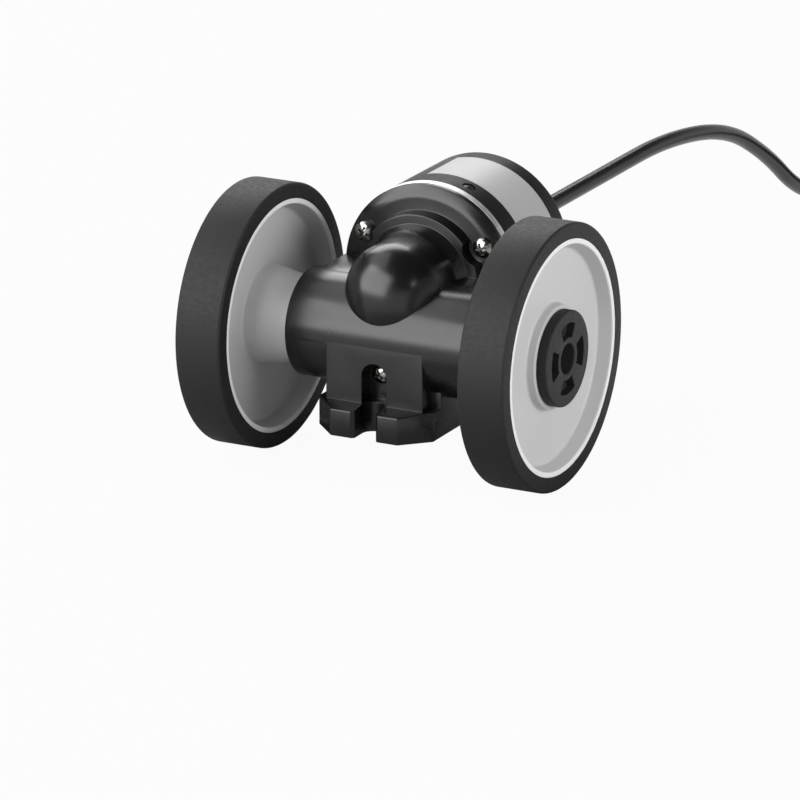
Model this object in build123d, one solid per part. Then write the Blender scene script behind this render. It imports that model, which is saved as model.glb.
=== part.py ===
"""Measuring wheel encoder: two wheels on one axle turn a rotary encoder through a pair of crossed helical gears.

All sizes are in millimetres. The origin is the middle of the base's underside, which bolts to a bracket.
+X runs along the axle, +Y points back to the encoder and its cable, and +Z points up.
"""
from build123d import *
import math
import os

# Main places: the axle lies across the body, and the encoder axis crosses above it at a right angle.
AXLE_HEIGHT = 26.43
SHAFT_OFFSET = 13.39
SHAFT_HEIGHT = AXLE_HEIGHT + SHAFT_OFFSET

# Clearances.
RUNNING = 0.05
BALL_PLAY = 0.03
APART = 0.3
OVERRUN = 1.0

# Wheels: 250 mm of travel in one turn.
WHEEL_TRAVEL = 250.0
WHEEL_RADIUS = WHEEL_TRAVEL / (2 * math.pi)
WHEEL_OUTER_X = 53.34
WHEEL_WIDTH = 14.75
WHEEL_INNER_X = WHEEL_OUTER_X - WHEEL_WIDTH
TYRE_THICKNESS = 4.73
TYRE_CHAMFER = 0.7
RIM_RADIUS = WHEEL_RADIUS - TYRE_THICKNESS
LIP_WIDTH = 1.5
DISH_OUTER_DEPTH = 4.5
DISH_INNER_DEPTH = 5.7
DISH_CORNER = 1.0
DISH_FLARE = 1.4
INNER_BOSS_RADIUS = 15.0
INNER_BOSS_TIP_RADIUS = 12.4
INNER_BOSS_CORNER = 0.6
INNER_BOSS_SHOULDER = 1.5
INNER_BOSS_SHOULDER_DROP = 0.5
BOSS_GAP = 1.2
OUTER_BOSS_RADIUS = 15.4
OUTER_BOSS_RISE = 2.65
OUTER_BOSS_DRAFT = 0.3
CAP_RADIUS = 14.3
CAP_PROUD = 1.41
CAP_FACE_X = WHEEL_OUTER_X + CAP_PROUD
CAP_SPIGOT_RADIUS = 11.0
CAP_SPIGOT_LENGTH = 1.2
CAP_HOLE_RADIUS = 4.55
CAP_WINDOWS = 4
CAP_WINDOW_INNER = 6.3
CAP_WINDOW_OUTER = 10.7
CAP_WINDOW_ANGLE = 53.0
CAP_WINDOW_DEPTH = 2.6
CAP_EDGE = 0.5

# Axle, its bearings and what holds the wheels on it.
AXLE_RADIUS = 3.0
AXLE_END_INSET = 5.84
AXLE_END_X = WHEEL_OUTER_X - AXLE_END_INSET
TAPPED_RADIUS = 1.65
TAPPED_DEPTH = 12.0
BEARING_OUTER_RADIUS = 9.5
BEARING_WIDTH = 6.0
BEARING_X = 19.0
BALL_RADIUS = 1.75
BALL_CIRCLE = 6.25
BALL_COUNT = 7
RACE_LAND = 1.55
CIRCLIP_WIDTH = 1.1
CIRCLIP_DEPTH = 0.6
CIRCLIP_BAND = 1.8
CIRCLIP_OPENING = 50.0
SEAL_WIDTH = 3.0
SEAL_INSET = 0.25
SPACER_WALL = 1.5
WHEEL_PIN_RADIUS = 1.0
WHEEL_PIN_LENGTH = 16.0
WHEEL_PIN_INSET = 1.6
PIN_SLOT_GAP = 0.5
WASHER_RADIUS = 6.0
WASHER_THICKNESS = 1.0
WHEEL_SCREW_HEAD_RADIUS = 3.5
WHEEL_SCREW_HEAD = 2.2
WHEEL_SCREW_LENGTH = 10.0

# Gears: four teeth on the axle drive sixteen on the encoder shaft.
DRIVE_TEETH = 4
DRIVEN_TEETH = 16
DRIVE_PITCH_RADIUS = 6.2
DRIVEN_PITCH_RADIUS = SHAFT_OFFSET - DRIVE_PITCH_RADIUS
GEAR_RATIO = DRIVEN_TEETH / DRIVE_TEETH
DRIVE_HELIX = math.atan(GEAR_RATIO * DRIVE_PITCH_RADIUS / DRIVEN_PITCH_RADIUS)
DRIVEN_HELIX = math.pi / 2 - DRIVE_HELIX
NORMAL_MODULE = 2 * DRIVE_PITCH_RADIUS * math.cos(DRIVE_HELIX) / DRIVE_TEETH
PRESSURE_ANGLE = math.radians(20)
TOOTH_THINNING = 0.09
ROOT_DEPTH = 1.25
FLANK_STEPS = (0.0, 0.35, 0.7, 1.0)
DRIVE_FACE = 10.0
DRIVEN_FACE = 8.0
GEAR_HUB_LENGTH = 4.6
GEAR_HUB_OVERLAP = 0.5
DRIVE_HUB_RADIUS = 5.0
DRIVEN_HUB_RADIUS = 4.6
DRIVE_PIN_RADIUS = 1.0
DRIVEN_PIN_RADIUS = 0.75

# Screws that hold the encoder on the casting, on a 45 mm circle: the lowest passes under the drive gear.
SCREW_RADIUS = 1.5
SCREW_GEAR_GAP = 0.547
SCREW_CIRCLE_RADIUS = SHAFT_OFFSET + DRIVE_PITCH_RADIUS + NORMAL_MODULE + SCREW_RADIUS + SCREW_GEAR_GAP
SCREW_ANGLES = (30, 150, 270)
SCREW_HOLE_RADIUS = 1.7
SCREW_HEAD_RADIUS = 3.0
SCREW_HEAD_HEIGHT = 2.4
SCREW_CROWN_SHARE = 0.55
RECESS_SHARE = 0.65
SCREW_TIP_Y = 25.6
SCREW_POCKET_RADIUS = 4.8
CROSS_SPAN = 3.0
CROSS_WIDTH = 0.55
CROSS_DEPTH = 1.5

# Body casting.
TUBE_RADIUS = 16.33
TUBE_END_X = 29.65
TUBE_EDGE = 0.6
DOME_RADIUS = 14.92
DOME_CENTRE_Y = -2.69
DOME_REACH = 13.9
SADDLE_DEPTH = 10.0
SADDLE_BACK_Y = 17.6
FLANGE_RADIUS = SCREW_CIRCLE_RADIUS + SCREW_POCKET_RADIUS
SADDLE_INSET = 0.5
SADDLE_HALF_WIDTH = FLANGE_RADIUS - SADDLE_INSET
FLANGE_BACK_Y = 19.85
FLANGE_RIM = 1.6
FLANGE_FACE_Y = 16.1
FLANGE_SHOULDER_DROP = 2.7
FLANGE_SHOULDER_RADIUS = FLANGE_RADIUS - FLANGE_SHOULDER_DROP
FLANGE_SHOULDER_Y = 16.7
FLANGE_ROUND_SHARE = 0.33
FLANGE_ROUND_DROP = 0.75
STEP_RADIUS = 19.9
STEP_FRONT_RADIUS = 19.5
STEP_FRONT_Y = 12.45
NECK_RADIUS = 17.0
NECK_Y = 11.3
NECK_FILLET_Y = 8.4
NECK_FILLET_SHARES = (0.72, 0.36)
BLOCK_HALF_WIDTH = 15.85
BLOCK_BACK_Y = 12.6
CHEEK_HALF_WIDTH = 18.85
CHEEK_FRONT_Y = -10.25
CHEEK_TOP = 13.9
BASE_HALF_DEPTH = 22.9
BASE_EDGE_THICKNESS = 8.2
BASE_CHAMFER = 7.9
BASE_TOP = 9.0
NOTCH_RADIUS = 3.5
NOTCH_Y = 16.9
NOTCH_MOUTH = 1.0
SLOT_HALF_WIDTH = 4.1
SLOT_BACK_Y = -10.5
CHAMBER_RADIUS = 8.2
GEAR_BORE_RADIUS = 9.0
GEAR_BORE_FRONT_Y = -5.5
PILOT_RADIUS = 12.5
PILOT_DEPTH = 3.0

# Encoder shaft, bushes and what it turns.
SHAFT_RADIUS = 2.5
SHAFT_FRONT_Y = -13.9
SHAFT_BACK_Y = 36.0
BUSH_WALL = 2.5
FRONT_BUSH_Y = -14.0
FRONT_BUSH_LENGTH = 5.0
REAR_BUSH_LENGTH = 5.6
SHAFT_SPACER_WALL = 1.1
THRUST_PLAY = 0.1
HUB_FLANGE_RADIUS = 8.0
HUB_RADIUS = 5.5
HUB_FRONT_Y = 27.5
DISC_Y = 33.0
HUB_FLANGE = 1.0
DISC_THICKNESS = 0.5
DISC_SLOTS = 36
CLAMP_RING_RADIUS = 7.5
CLAMP_RING_LENGTH = 1.6

# Encoder: mounting flange, cover and label.
COVER_PROUD = 0.1
COVER_RADIUS = FLANGE_RADIUS + COVER_PROUD
RING_PROUD = 0.05
RING_RADIUS = COVER_RADIUS + RING_PROUD
RING_THICKNESS = 2.52
RING_EDGE = 0.3
RING_BACK_Y = FLANGE_BACK_Y + RING_THICKNESS
COVER_WALL = 1.6
COVER_BACK_Y = 57.75
COVER_BACK_WALL = 2.0
COVER_EDGE = 1.2
SPIGOT_WALL = 2.4
SPIGOT_BACK_Y = 29.5
PLATE_BACK_Y = 24.0
PLATE_BOSS_RADIUS = 7.5
PLATE_BOSS_RISE = 1.5
O_RING_RADIUS = 0.7
O_RING_Y = 23.9
COVER_SCREW_ANGLES = (70, 190, 310)
COVER_SCREW_Y = 26.8
COVER_SCREW_RADIUS = 1.0
COVER_SCREW_HEAD_RADIUS = 2.1
COVER_SCREW_HEAD_HEIGHT = 1.0
COVER_SCREW_LENGTH = 3.6
COVER_SCREW_HOLE_DEPTH = 5.0
LABEL_FRONT_Y = 30.69
LABEL_BACK_Y = 50.70
LABEL_THICKNESS = 0.2
LABEL_START = 104.0
LABEL_SPAN = 200.0

# Encoder electronics.
STANDOFF_ANGLES = (90, 210, 330)
STANDOFF_RADIUS = 1.8
STANDOFF_CIRCLE = COVER_RADIUS - COVER_WALL - SPIGOT_WALL - STANDOFF_RADIUS - APART
DISC_GAP = 1.0
DISC_RADIUS = STANDOFF_CIRCLE - STANDOFF_RADIUS - DISC_GAP
DISC_RIM = 1.7
DISC_SLOT_OUTER = DISC_RADIUS - DISC_RIM
DISC_SLOT_LENGTH = 3.0
DISC_SLOT_INNER = DISC_SLOT_OUTER - DISC_SLOT_LENGTH
BOARD_Y = 42.0
BOARD_THICKNESS = 1.6
BOARD_GAP = 1.8
BOARD_RADIUS = COVER_RADIUS - COVER_WALL - BOARD_GAP
BOARD_SCREW_RADIUS = 1.0
BOARD_SCREW_HEAD_RADIUS = 1.9
BOARD_SCREW_HEAD = 1.3
BOARD_SCREW_LENGTH = 5.0
OPTICS_OFFSET = (DISC_SLOT_INNER + DISC_SLOT_OUTER) / 2
LAMP_SIDE = 7.0
LAMP_BACK_Y = 32.0
LENS_RADIUS = 2.1
LENS_RISE = 1.0
SENSOR_SIDE = 7.4
MASK_THICKNESS = 0.5
MASK_Y = 35.2
MASK_SLITS = (-2.0, -0.7, 0.7, 2.0)
SLIT_HALF_WIDTH = 0.3
SLIT_HALF_HEIGHT = 1.5
CONNECTOR_SIZE = (11.0, 5.0, 6.0)
CHIPS = ((-12.0, 8.0, 7.0, 2.0), (11.0, 10.0, 5.0, 1.6), (12.0, -9.0, 6.0, 2.4), (-9.0, -12.0, 8.0, 1.4))

# Cable: where it leaves the encoder, its route and its coil. The wheels stand on the floor that it lies on.
CABLE_RADIUS = 2.5
GLAND_NECK_RADIUS = 4.6
GLAND_COLLAR_RADIUS = 6.5
GLAND_COLLAR = 2.2
GLAND_OUTER_RADIUS = 5.6
GLAND_TIP_RADIUS = 3.7
GLAND_LENGTH = 8.25
GLAND_TIP_Y = COVER_BACK_Y + GLAND_LENGTH
CABLE_INNER_Y = 52.0
STOP_RADIUS = 3.7
STOP_LENGTH = 1.5
WIRE_RADIUS = 0.6
WIRE_OFFSET = 1.5
WIRE_COUNT = 5
TIE_THICKNESS = 0.9
FLOOR = AXLE_HEIGHT - WHEEL_RADIUS
COIL_BASE = FLOOR + TIE_THICKNESS
CABLE_REST = COIL_BASE + CABLE_RADIUS
CABLE_ROUTE = (
    (0.0, GLAND_TIP_Y, SHAFT_HEIGHT),
    (0.0, 186.0, SHAFT_HEIGHT),
    (0.9, 230.0, 32.6),
    (1.4, 262.0, 16.0),
    (0.9, 287.0, -1.5),
    (0.0, 311.0, CABLE_REST),
    (0.0, 335.0, CABLE_REST),
)
ROUND_SHARE = 0.45
COIL_INNER_RADIUS = 18.0
COIL_LAPS_ACROSS = 4.4
COIL_LAYERS = 3
COIL_OUTER_RADIUS = COIL_INNER_RADIUS + COIL_LAPS_ACROSS * 2 * CABLE_RADIUS
COIL_HEIGHT = COIL_LAYERS * 2 * CABLE_RADIUS
COIL_CORNER = 2.4
COIL_ENTRY = 0.5
COIL_CENTRE_X = COIL_OUTER_RADIUS - CABLE_RADIUS
COIL_LEAD_IN = math.sqrt(COIL_OUTER_RADIUS**2 - (COIL_OUTER_RADIUS - 2 * CABLE_RADIUS) ** 2) + COIL_ENTRY
COIL_CENTRE_Y = CABLE_ROUTE[-1][1] + COIL_LEAD_IN
TIE_ANGLE = 250.0
TIE_WIDTH = 5.0
LEAD_LENGTH = 28.0
LEAD_ANGLE = 56.0
LEAD_PLACES = ((1.5, 1.0), (3.5, 1.0), (5.5, 1.0), (2.5, 2.8), (4.5, 2.8))
LEAD_STEP_WIDTH = 8 * WIRE_RADIUS
LEAD_STEP_DEPTH = 2 * CABLE_RADIUS

X_SIDE = Plane.XZ
Y_SIDE = Plane.YZ


def turned(outline, axis=Axis.X):
    """A turned piece: its half section, as (along, radius) points or a face, spun about the axis."""
    section = outline if isinstance(outline, (Face, Sketch)) else Polygon(*outline, align=None)
    side = X_SIDE if abs(axis.direction.X) > 0.5 else Y_SIDE
    return revolve(side * section, axis)


def ring(inner, outer, start, end, axis=Axis.X):
    """A plain turned ring or, with no inner radius, a disc."""
    return turned([(start, inner), (end, inner), (end, outer), (start, outer)], axis)


def rod_y(radius, start, end, x=0.0, z=0.0):
    """A round bar along Y."""
    return Pos(x, start, z) * Rot(-90, 0, 0) * extrude(Circle(radius), end - start)


def rod_x(radius, start, end):
    """A round bar along X on the axle's line."""
    return Pos(start, 0, 0) * Rot(0, 90, 0) * extrude(Circle(radius), end - start)


def block(low, high):
    """A plain box between two corners."""
    size = [b - a for a, b in zip(low, high)]
    return Pos(*low) * Box(*size, align=Align.MIN)


def on_axle(shape):
    """Moves a piece modelled about the X axis up to the axle."""
    return Pos(0, 0, AXLE_HEIGHT) * shape


def on_shaft(shape):
    """Moves a piece modelled about the Y axis up to the encoder shaft."""
    return Pos(0, 0, SHAFT_HEIGHT) * shape


def around_shaft(angle, radius):
    """The x and z, from the encoder axis, of a place on a circle about it."""
    return radius * math.cos(math.radians(angle)), radius * math.sin(math.radians(angle))


def mirrored(shape):
    """The left-hand copy of a right-hand piece."""
    return mirror(shape, Plane.YZ)


def cross_recess(depth, span=CROSS_SPAN, width=CROSS_WIDTH):
    """The cross-shaped driver recess of a screw, pointing down from the middle of its head."""
    bar = Pos(0, 0, -depth / 2) * Box(span, width, depth)
    return bar + Rot(0, 0, 90) * bar


def pan_screw(length, radius=SCREW_RADIUS, head_radius=SCREW_HEAD_RADIUS, head=SCREW_HEAD_HEIGHT):
    """A cross-recessed pan head screw along Z: the seat is at z = 0, the head above and the shank below."""
    crown = head * SCREW_CROWN_SHARE
    ball = (head_radius**2 + crown**2) / (2 * crown)
    halfway = head - ball + math.sqrt(ball**2 - (head_radius / 2) ** 2)
    half = make_face(
        [
            Line((0, -length), (radius, -length)),
            Line((radius, -length), (radius, 0)),
            Line((radius, 0), (head_radius, 0)),
            Line((head_radius, 0), (head_radius, head - crown)),
            ThreePointArc((head_radius, head - crown), (head_radius / 2, halfway), (0, head)),
            Line((0, head), (0, -length)),
        ]
    )
    screw = revolve(Plane.XZ * half, Axis.Z)
    share = head_radius / SCREW_HEAD_RADIUS
    depth = min(CROSS_DEPTH * share, head * RECESS_SHARE)
    return screw - Pos(0, 0, head) * cross_recess(depth, CROSS_SPAN * share, CROSS_WIDTH * share)


def tooth_outline(teeth, pitch_radius, helix):
    """The cross-section of a helical gear, with involute flanks, as one face."""
    transverse = math.atan(math.tan(PRESSURE_ANGLE) / math.cos(helix))
    base_radius = pitch_radius * math.cos(transverse)
    tip = pitch_radius + NORMAL_MODULE
    root = pitch_radius - ROOT_DEPTH * NORMAL_MODULE
    thickness = (math.pi * NORMAL_MODULE / 2 - TOOTH_THINNING) / math.cos(helix)

    def half_angle(radius):
        angle = math.acos(min(1.0, base_radius / radius))
        involute = math.tan(angle) - angle
        return thickness / (2 * pitch_radius) + math.tan(transverse) - transverse - involute

    def at(radius, angle):
        return radius * math.cos(angle), radius * math.sin(angle)

    low = max(root, base_radius)
    flank = [low + (tip - low) * share for share in FLANK_STEPS]
    edges = []
    pitch = 2 * math.pi / teeth
    for index in range(teeth):
        middle = index * pitch
        rise = [at(r, middle - half_angle(r)) for r in flank]
        fall = [at(r, middle + half_angle(r)) for r in reversed(flank)]
        if low > root:
            edges.append(Line(at(root, middle - half_angle(low)), rise[0]))
        edges.append(Spline(*rise))
        edges.append(ThreePointArc(rise[-1], at(tip, middle), fall[0]))
        edges.append(Spline(*fall))
        if low > root:
            edges.append(Line(fall[-1], at(root, middle + half_angle(low))))
        start = at(root, middle + half_angle(low))
        end = at(root, middle + pitch - half_angle(low))
        edges.append(ThreePointArc(start, at(root, middle + pitch / 2), end))
    return make_face(edges)


def helical_gear(teeth, pitch_radius, helix, width, phase):
    """A right-hand helical gear along Z, centred on z = 0, where a tooth stands at the phase angle."""
    twist = math.degrees(width * math.tan(helix) / pitch_radius)
    section = Rot(0, 0, phase - twist / 2) * tooth_outline(teeth, pitch_radius, helix)
    body = Solid.extrude_linear_with_rotation(section.face(), (0, 0, 0), (0, 0, width), twist)
    return Pos(0, 0, -width / 2) * body


# Wheels.


def tyre():
    """The rubber tyre of the right wheel."""
    inner, outer, cut = WHEEL_INNER_X, WHEEL_OUTER_X, TYRE_CHAMFER
    return turned(
        [
            (inner, RIM_RADIUS),
            (outer, RIM_RADIUS),
            (outer, WHEEL_RADIUS - cut),
            (outer - cut, WHEEL_RADIUS),
            (inner + cut, WHEEL_RADIUS),
            (inner, WHEEL_RADIUS - cut),
        ]
    )


def wheel_hub():
    """The moulded hub of the right wheel: rim, dished web and its two bosses, bored for the axle."""
    lip = RIM_RADIUS - LIP_WIDTH
    web_outer = WHEEL_OUTER_X - DISH_OUTER_DEPTH
    web_inner = WHEEL_INNER_X + DISH_INNER_DEPTH
    boss_tip = TUBE_END_X + BOSS_GAP
    boss_face = web_outer + OUTER_BOSS_RISE
    outline = Polygon(
        (boss_tip, AXLE_RADIUS),
        (AXLE_END_X, AXLE_RADIUS),
        (AXLE_END_X, CAP_SPIGOT_RADIUS),
        (boss_face, CAP_SPIGOT_RADIUS),
        (boss_face, OUTER_BOSS_RADIUS),
        (web_outer, OUTER_BOSS_RADIUS + OUTER_BOSS_DRAFT),
        (web_outer, lip - DISH_FLARE),
        (WHEEL_OUTER_X, lip),
        (WHEEL_OUTER_X, RIM_RADIUS),
        (WHEEL_INNER_X, RIM_RADIUS),
        (WHEEL_INNER_X, lip),
        (web_inner, lip - DISH_FLARE),
        (web_inner, INNER_BOSS_RADIUS),
        (WHEEL_INNER_X + INNER_BOSS_SHOULDER, INNER_BOSS_RADIUS - INNER_BOSS_SHOULDER_DROP),
        (boss_tip, INNER_BOSS_TIP_RADIUS),
        align=None,
    )
    dish = [v for v in outline.vertices() if abs(v.Y - (lip - DISH_FLARE)) < 0.01]
    outline = fillet(dish, DISH_CORNER)
    root = [v for v in outline.vertices() if abs(v.X - web_inner) < 0.01 and v.Y < INNER_BOSS_RADIUS + 0.01]
    outline = fillet(root, INNER_BOSS_CORNER)
    hub = turned(outline)
    slot_half = WHEEL_PIN_LENGTH / 2 + PIN_SLOT_GAP
    slot = block(
        (boss_tip - OVERRUN, -WHEEL_PIN_RADIUS, -slot_half),
        (boss_tip + WHEEL_PIN_INSET + WHEEL_PIN_RADIUS, WHEEL_PIN_RADIUS, slot_half),
    )
    return hub - slot


def hub_cap():
    """The cap pressed into the right hub, with a hole for the screwdriver and four blind windows."""
    face = WHEEL_OUTER_X - DISH_OUTER_DEPTH + OUTER_BOSS_RISE
    cap = turned(
        [
            (face - CAP_SPIGOT_LENGTH, CAP_HOLE_RADIUS),
            (CAP_FACE_X, CAP_HOLE_RADIUS),
            (CAP_FACE_X, CAP_RADIUS - CAP_EDGE),
            (CAP_FACE_X - CAP_EDGE, CAP_RADIUS),
            (face, CAP_RADIUS),
            (face, CAP_SPIGOT_RADIUS),
            (face - CAP_SPIGOT_LENGTH, CAP_SPIGOT_RADIUS),
        ]
    )
    window = revolve(
        X_SIDE * Polygon(
            (CAP_FACE_X - CAP_WINDOW_DEPTH, CAP_WINDOW_INNER),
            (CAP_FACE_X + OVERRUN, CAP_WINDOW_INNER),
            (CAP_FACE_X + OVERRUN, CAP_WINDOW_OUTER),
            (CAP_FACE_X - CAP_WINDOW_DEPTH, CAP_WINDOW_OUTER),
            align=None,
        ),
        Axis.X,
        CAP_WINDOW_ANGLE,
    )
    for index in range(CAP_WINDOWS):
        cap -= Rot(index * 360 / CAP_WINDOWS - CAP_WINDOW_ANGLE / 2, 0, 0) * window
    return cap


def wheel_pin():
    """The cross pin that turns the right wheel with the axle."""
    x = TUBE_END_X + BOSS_GAP + WHEEL_PIN_INSET
    return Pos(x, 0, -WHEEL_PIN_LENGTH / 2) * extrude(Circle(WHEEL_PIN_RADIUS), WHEEL_PIN_LENGTH)


def wheel_washer():
    """The washer between the right wheel and its screw."""
    return ring(TAPPED_RADIUS, WASHER_RADIUS, AXLE_END_X, AXLE_END_X + WASHER_THICKNESS)


def wheel_screw():
    """The screw in the end of the axle that holds the right wheel."""
    screw = pan_screw(WHEEL_SCREW_LENGTH, TAPPED_RADIUS, WHEEL_SCREW_HEAD_RADIUS, WHEEL_SCREW_HEAD)
    return Pos(AXLE_END_X + WASHER_THICKNESS, 0, 0) * Rot(0, 90, 0) * screw


# Axle, its gear and its bearings.


def drive_pin_x():
    """Where the drive gear's pin crosses the axle."""
    return DRIVE_FACE / 2 + GEAR_HUB_LENGTH / 2


def axle():
    """The axle through the body, drilled for its three pins and tapped at both ends."""
    bar = rod_x(AXLE_RADIUS, -AXLE_END_X, AXLE_END_X)
    tap = rod_x(TAPPED_RADIUS, AXLE_END_X - TAPPED_DEPTH, AXLE_END_X)
    pin = wheel_pin()
    bar -= tap + mirrored(tap)
    bar -= pin
    bar -= mirrored(pin)
    return bar - drive_pin()


def drive_pin():
    """The pin that locks the drive gear to the axle."""
    length = 2 * DRIVE_HUB_RADIUS
    return Pos(drive_pin_x(), 0, -length / 2) * extrude(Circle(DRIVE_PIN_RADIUS), length)


def drive_gear():
    """The four-tooth gear on the axle, with a pinned hub at its right."""
    teeth = helical_gear(DRIVE_TEETH, DRIVE_PITCH_RADIUS, DRIVE_HELIX, DRIVE_FACE, 180.0 / DRIVE_TEETH)
    gear = Rot(0, 90, 0) * teeth
    gear += rod_x(DRIVE_HUB_RADIUS, DRIVE_FACE / 2 - GEAR_HUB_OVERLAP, DRIVE_FACE / 2 + GEAR_HUB_LENGTH)
    gear -= rod_x(AXLE_RADIUS, -DRIVE_FACE, DRIVE_FACE / 2 + GEAR_HUB_LENGTH + OVERRUN)
    return gear - drive_pin()


def sleeve_on_axle(start, end):
    """A spacer sleeve on the axle."""
    return ring(AXLE_RADIUS, AXLE_RADIUS + SPACER_WALL, start, end)


def bearing_rings():
    """The outer and the inner ring of the right axle bearing, with their ball grooves."""
    end = BEARING_X + BEARING_WIDTH
    middle = BEARING_X + BEARING_WIDTH / 2
    groove = Pos(middle, 0, 0) * Rot(0, 90, 0) * Torus(BALL_CIRCLE, BALL_RADIUS + BALL_PLAY)
    outer = ring(BALL_CIRCLE + RACE_LAND, BEARING_OUTER_RADIUS, BEARING_X, end) - groove
    inner = ring(AXLE_RADIUS, BALL_CIRCLE - RACE_LAND, BEARING_X, end) - groove
    return outer, inner


def bearing_balls():
    """The balls of the right axle bearing."""
    middle = BEARING_X + BEARING_WIDTH / 2
    ball = Pos(middle, BALL_CIRCLE, 0) * Sphere(BALL_RADIUS)
    return [Rot(index * 360 / BALL_COUNT, 0, 0) * ball for index in range(BALL_COUNT)]


def circlip():
    """The open ring that keeps the right bearing in the tube."""
    start = BEARING_X + BEARING_WIDTH
    outer = BEARING_OUTER_RADIUS + CIRCLIP_DEPTH
    clip = ring(outer - CIRCLIP_BAND, outer, start, start + CIRCLIP_WIDTH)
    half = outer * math.tan(math.radians(CIRCLIP_OPENING / 2))
    opening = Polygon((0, 0), (half * 2, outer * 2), (-half * 2, outer * 2), align=None)
    return clip - Pos(start - OVERRUN, 0, 0) * Rot(0, 90, 0) * extrude(opening, CIRCLIP_WIDTH + 2 * OVERRUN)


def axle_seal():
    """The lip seal in the right end of the tube."""
    end = TUBE_END_X - SEAL_INSET
    return ring(AXLE_RADIUS + SPACER_WALL + RUNNING, BEARING_OUTER_RADIUS, end - SEAL_WIDTH, end)


# Encoder shaft and what turns with it.


def driven_pin_y():
    """Where the driven gear's pin crosses the encoder shaft."""
    return DRIVEN_FACE / 2 + GEAR_HUB_LENGTH / 2


def driven_pin():
    """The pin that locks the driven gear to the encoder shaft."""
    length = 2 * DRIVEN_HUB_RADIUS
    return Pos(0, driven_pin_y(), -length / 2) * extrude(Circle(DRIVEN_PIN_RADIUS), length)


def encoder_shaft():
    """The shaft that carries the driven gear and the code disc."""
    return rod_y(SHAFT_RADIUS, SHAFT_FRONT_Y, SHAFT_BACK_Y) - driven_pin()


def driven_gear():
    """The sixteen-tooth gear on the encoder shaft, with a pinned hub behind it."""
    teeth = helical_gear(DRIVEN_TEETH, DRIVEN_PITCH_RADIUS, DRIVEN_HELIX, DRIVEN_FACE, 90.0)
    gear = Rot(-90, 0, 0) * teeth
    gear += rod_y(DRIVEN_HUB_RADIUS, DRIVEN_FACE / 2 - GEAR_HUB_OVERLAP, DRIVEN_FACE / 2 + GEAR_HUB_LENGTH)
    gear -= rod_y(SHAFT_RADIUS, -DRIVEN_FACE, DRIVEN_FACE / 2 + GEAR_HUB_LENGTH + OVERRUN)
    return gear - driven_pin()


def bush(start, length):
    """A plain bearing bush for the encoder shaft."""
    return ring(SHAFT_RADIUS + RUNNING, SHAFT_RADIUS + RUNNING + BUSH_WALL, start, start + length, Axis.Y)


def rear_bush_y():
    """The front of the rear bush, which ends flush with the flange's boss."""
    return PLATE_BACK_Y + PLATE_BOSS_RISE - REAR_BUSH_LENGTH


def shaft_sleeve(start, end):
    """A spacer sleeve on the encoder shaft."""
    return ring(SHAFT_RADIUS, SHAFT_RADIUS + SHAFT_SPACER_WALL, start, end, Axis.Y)


def disc_hub():
    """The flanged hub that carries the code disc."""
    return turned(
        [
            (HUB_FRONT_Y, SHAFT_RADIUS),
            (DISC_Y, SHAFT_RADIUS),
            (DISC_Y, HUB_FLANGE_RADIUS),
            (DISC_Y - HUB_FLANGE, HUB_FLANGE_RADIUS),
            (DISC_Y - HUB_FLANGE, HUB_RADIUS),
            (HUB_FRONT_Y, HUB_RADIUS),
        ],
        Axis.Y,
    )


def code_disc():
    """The slotted disc that chops the light."""
    disc = ring(SHAFT_RADIUS, DISC_RADIUS, DISC_Y, DISC_Y + DISC_THICKNESS, Axis.Y)
    width = math.pi * (DISC_SLOT_INNER + DISC_SLOT_OUTER) / 2 / DISC_SLOTS
    slot = block(
        (DISC_SLOT_INNER, DISC_Y - OVERRUN, -width / 2),
        (DISC_SLOT_OUTER, DISC_Y + DISC_THICKNESS + OVERRUN, width / 2),
    )
    slots = [Rot(0, index * 360 / DISC_SLOTS, 0) * slot for index in range(DISC_SLOTS)]
    return disc - slots


def disc_clamp():
    """The ring that clamps the code disc to its hub."""
    start = DISC_Y + DISC_THICKNESS
    return ring(SHAFT_RADIUS, CLAMP_RING_RADIUS, start, start + CLAMP_RING_LENGTH, Axis.Y)


# Body casting.


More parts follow.
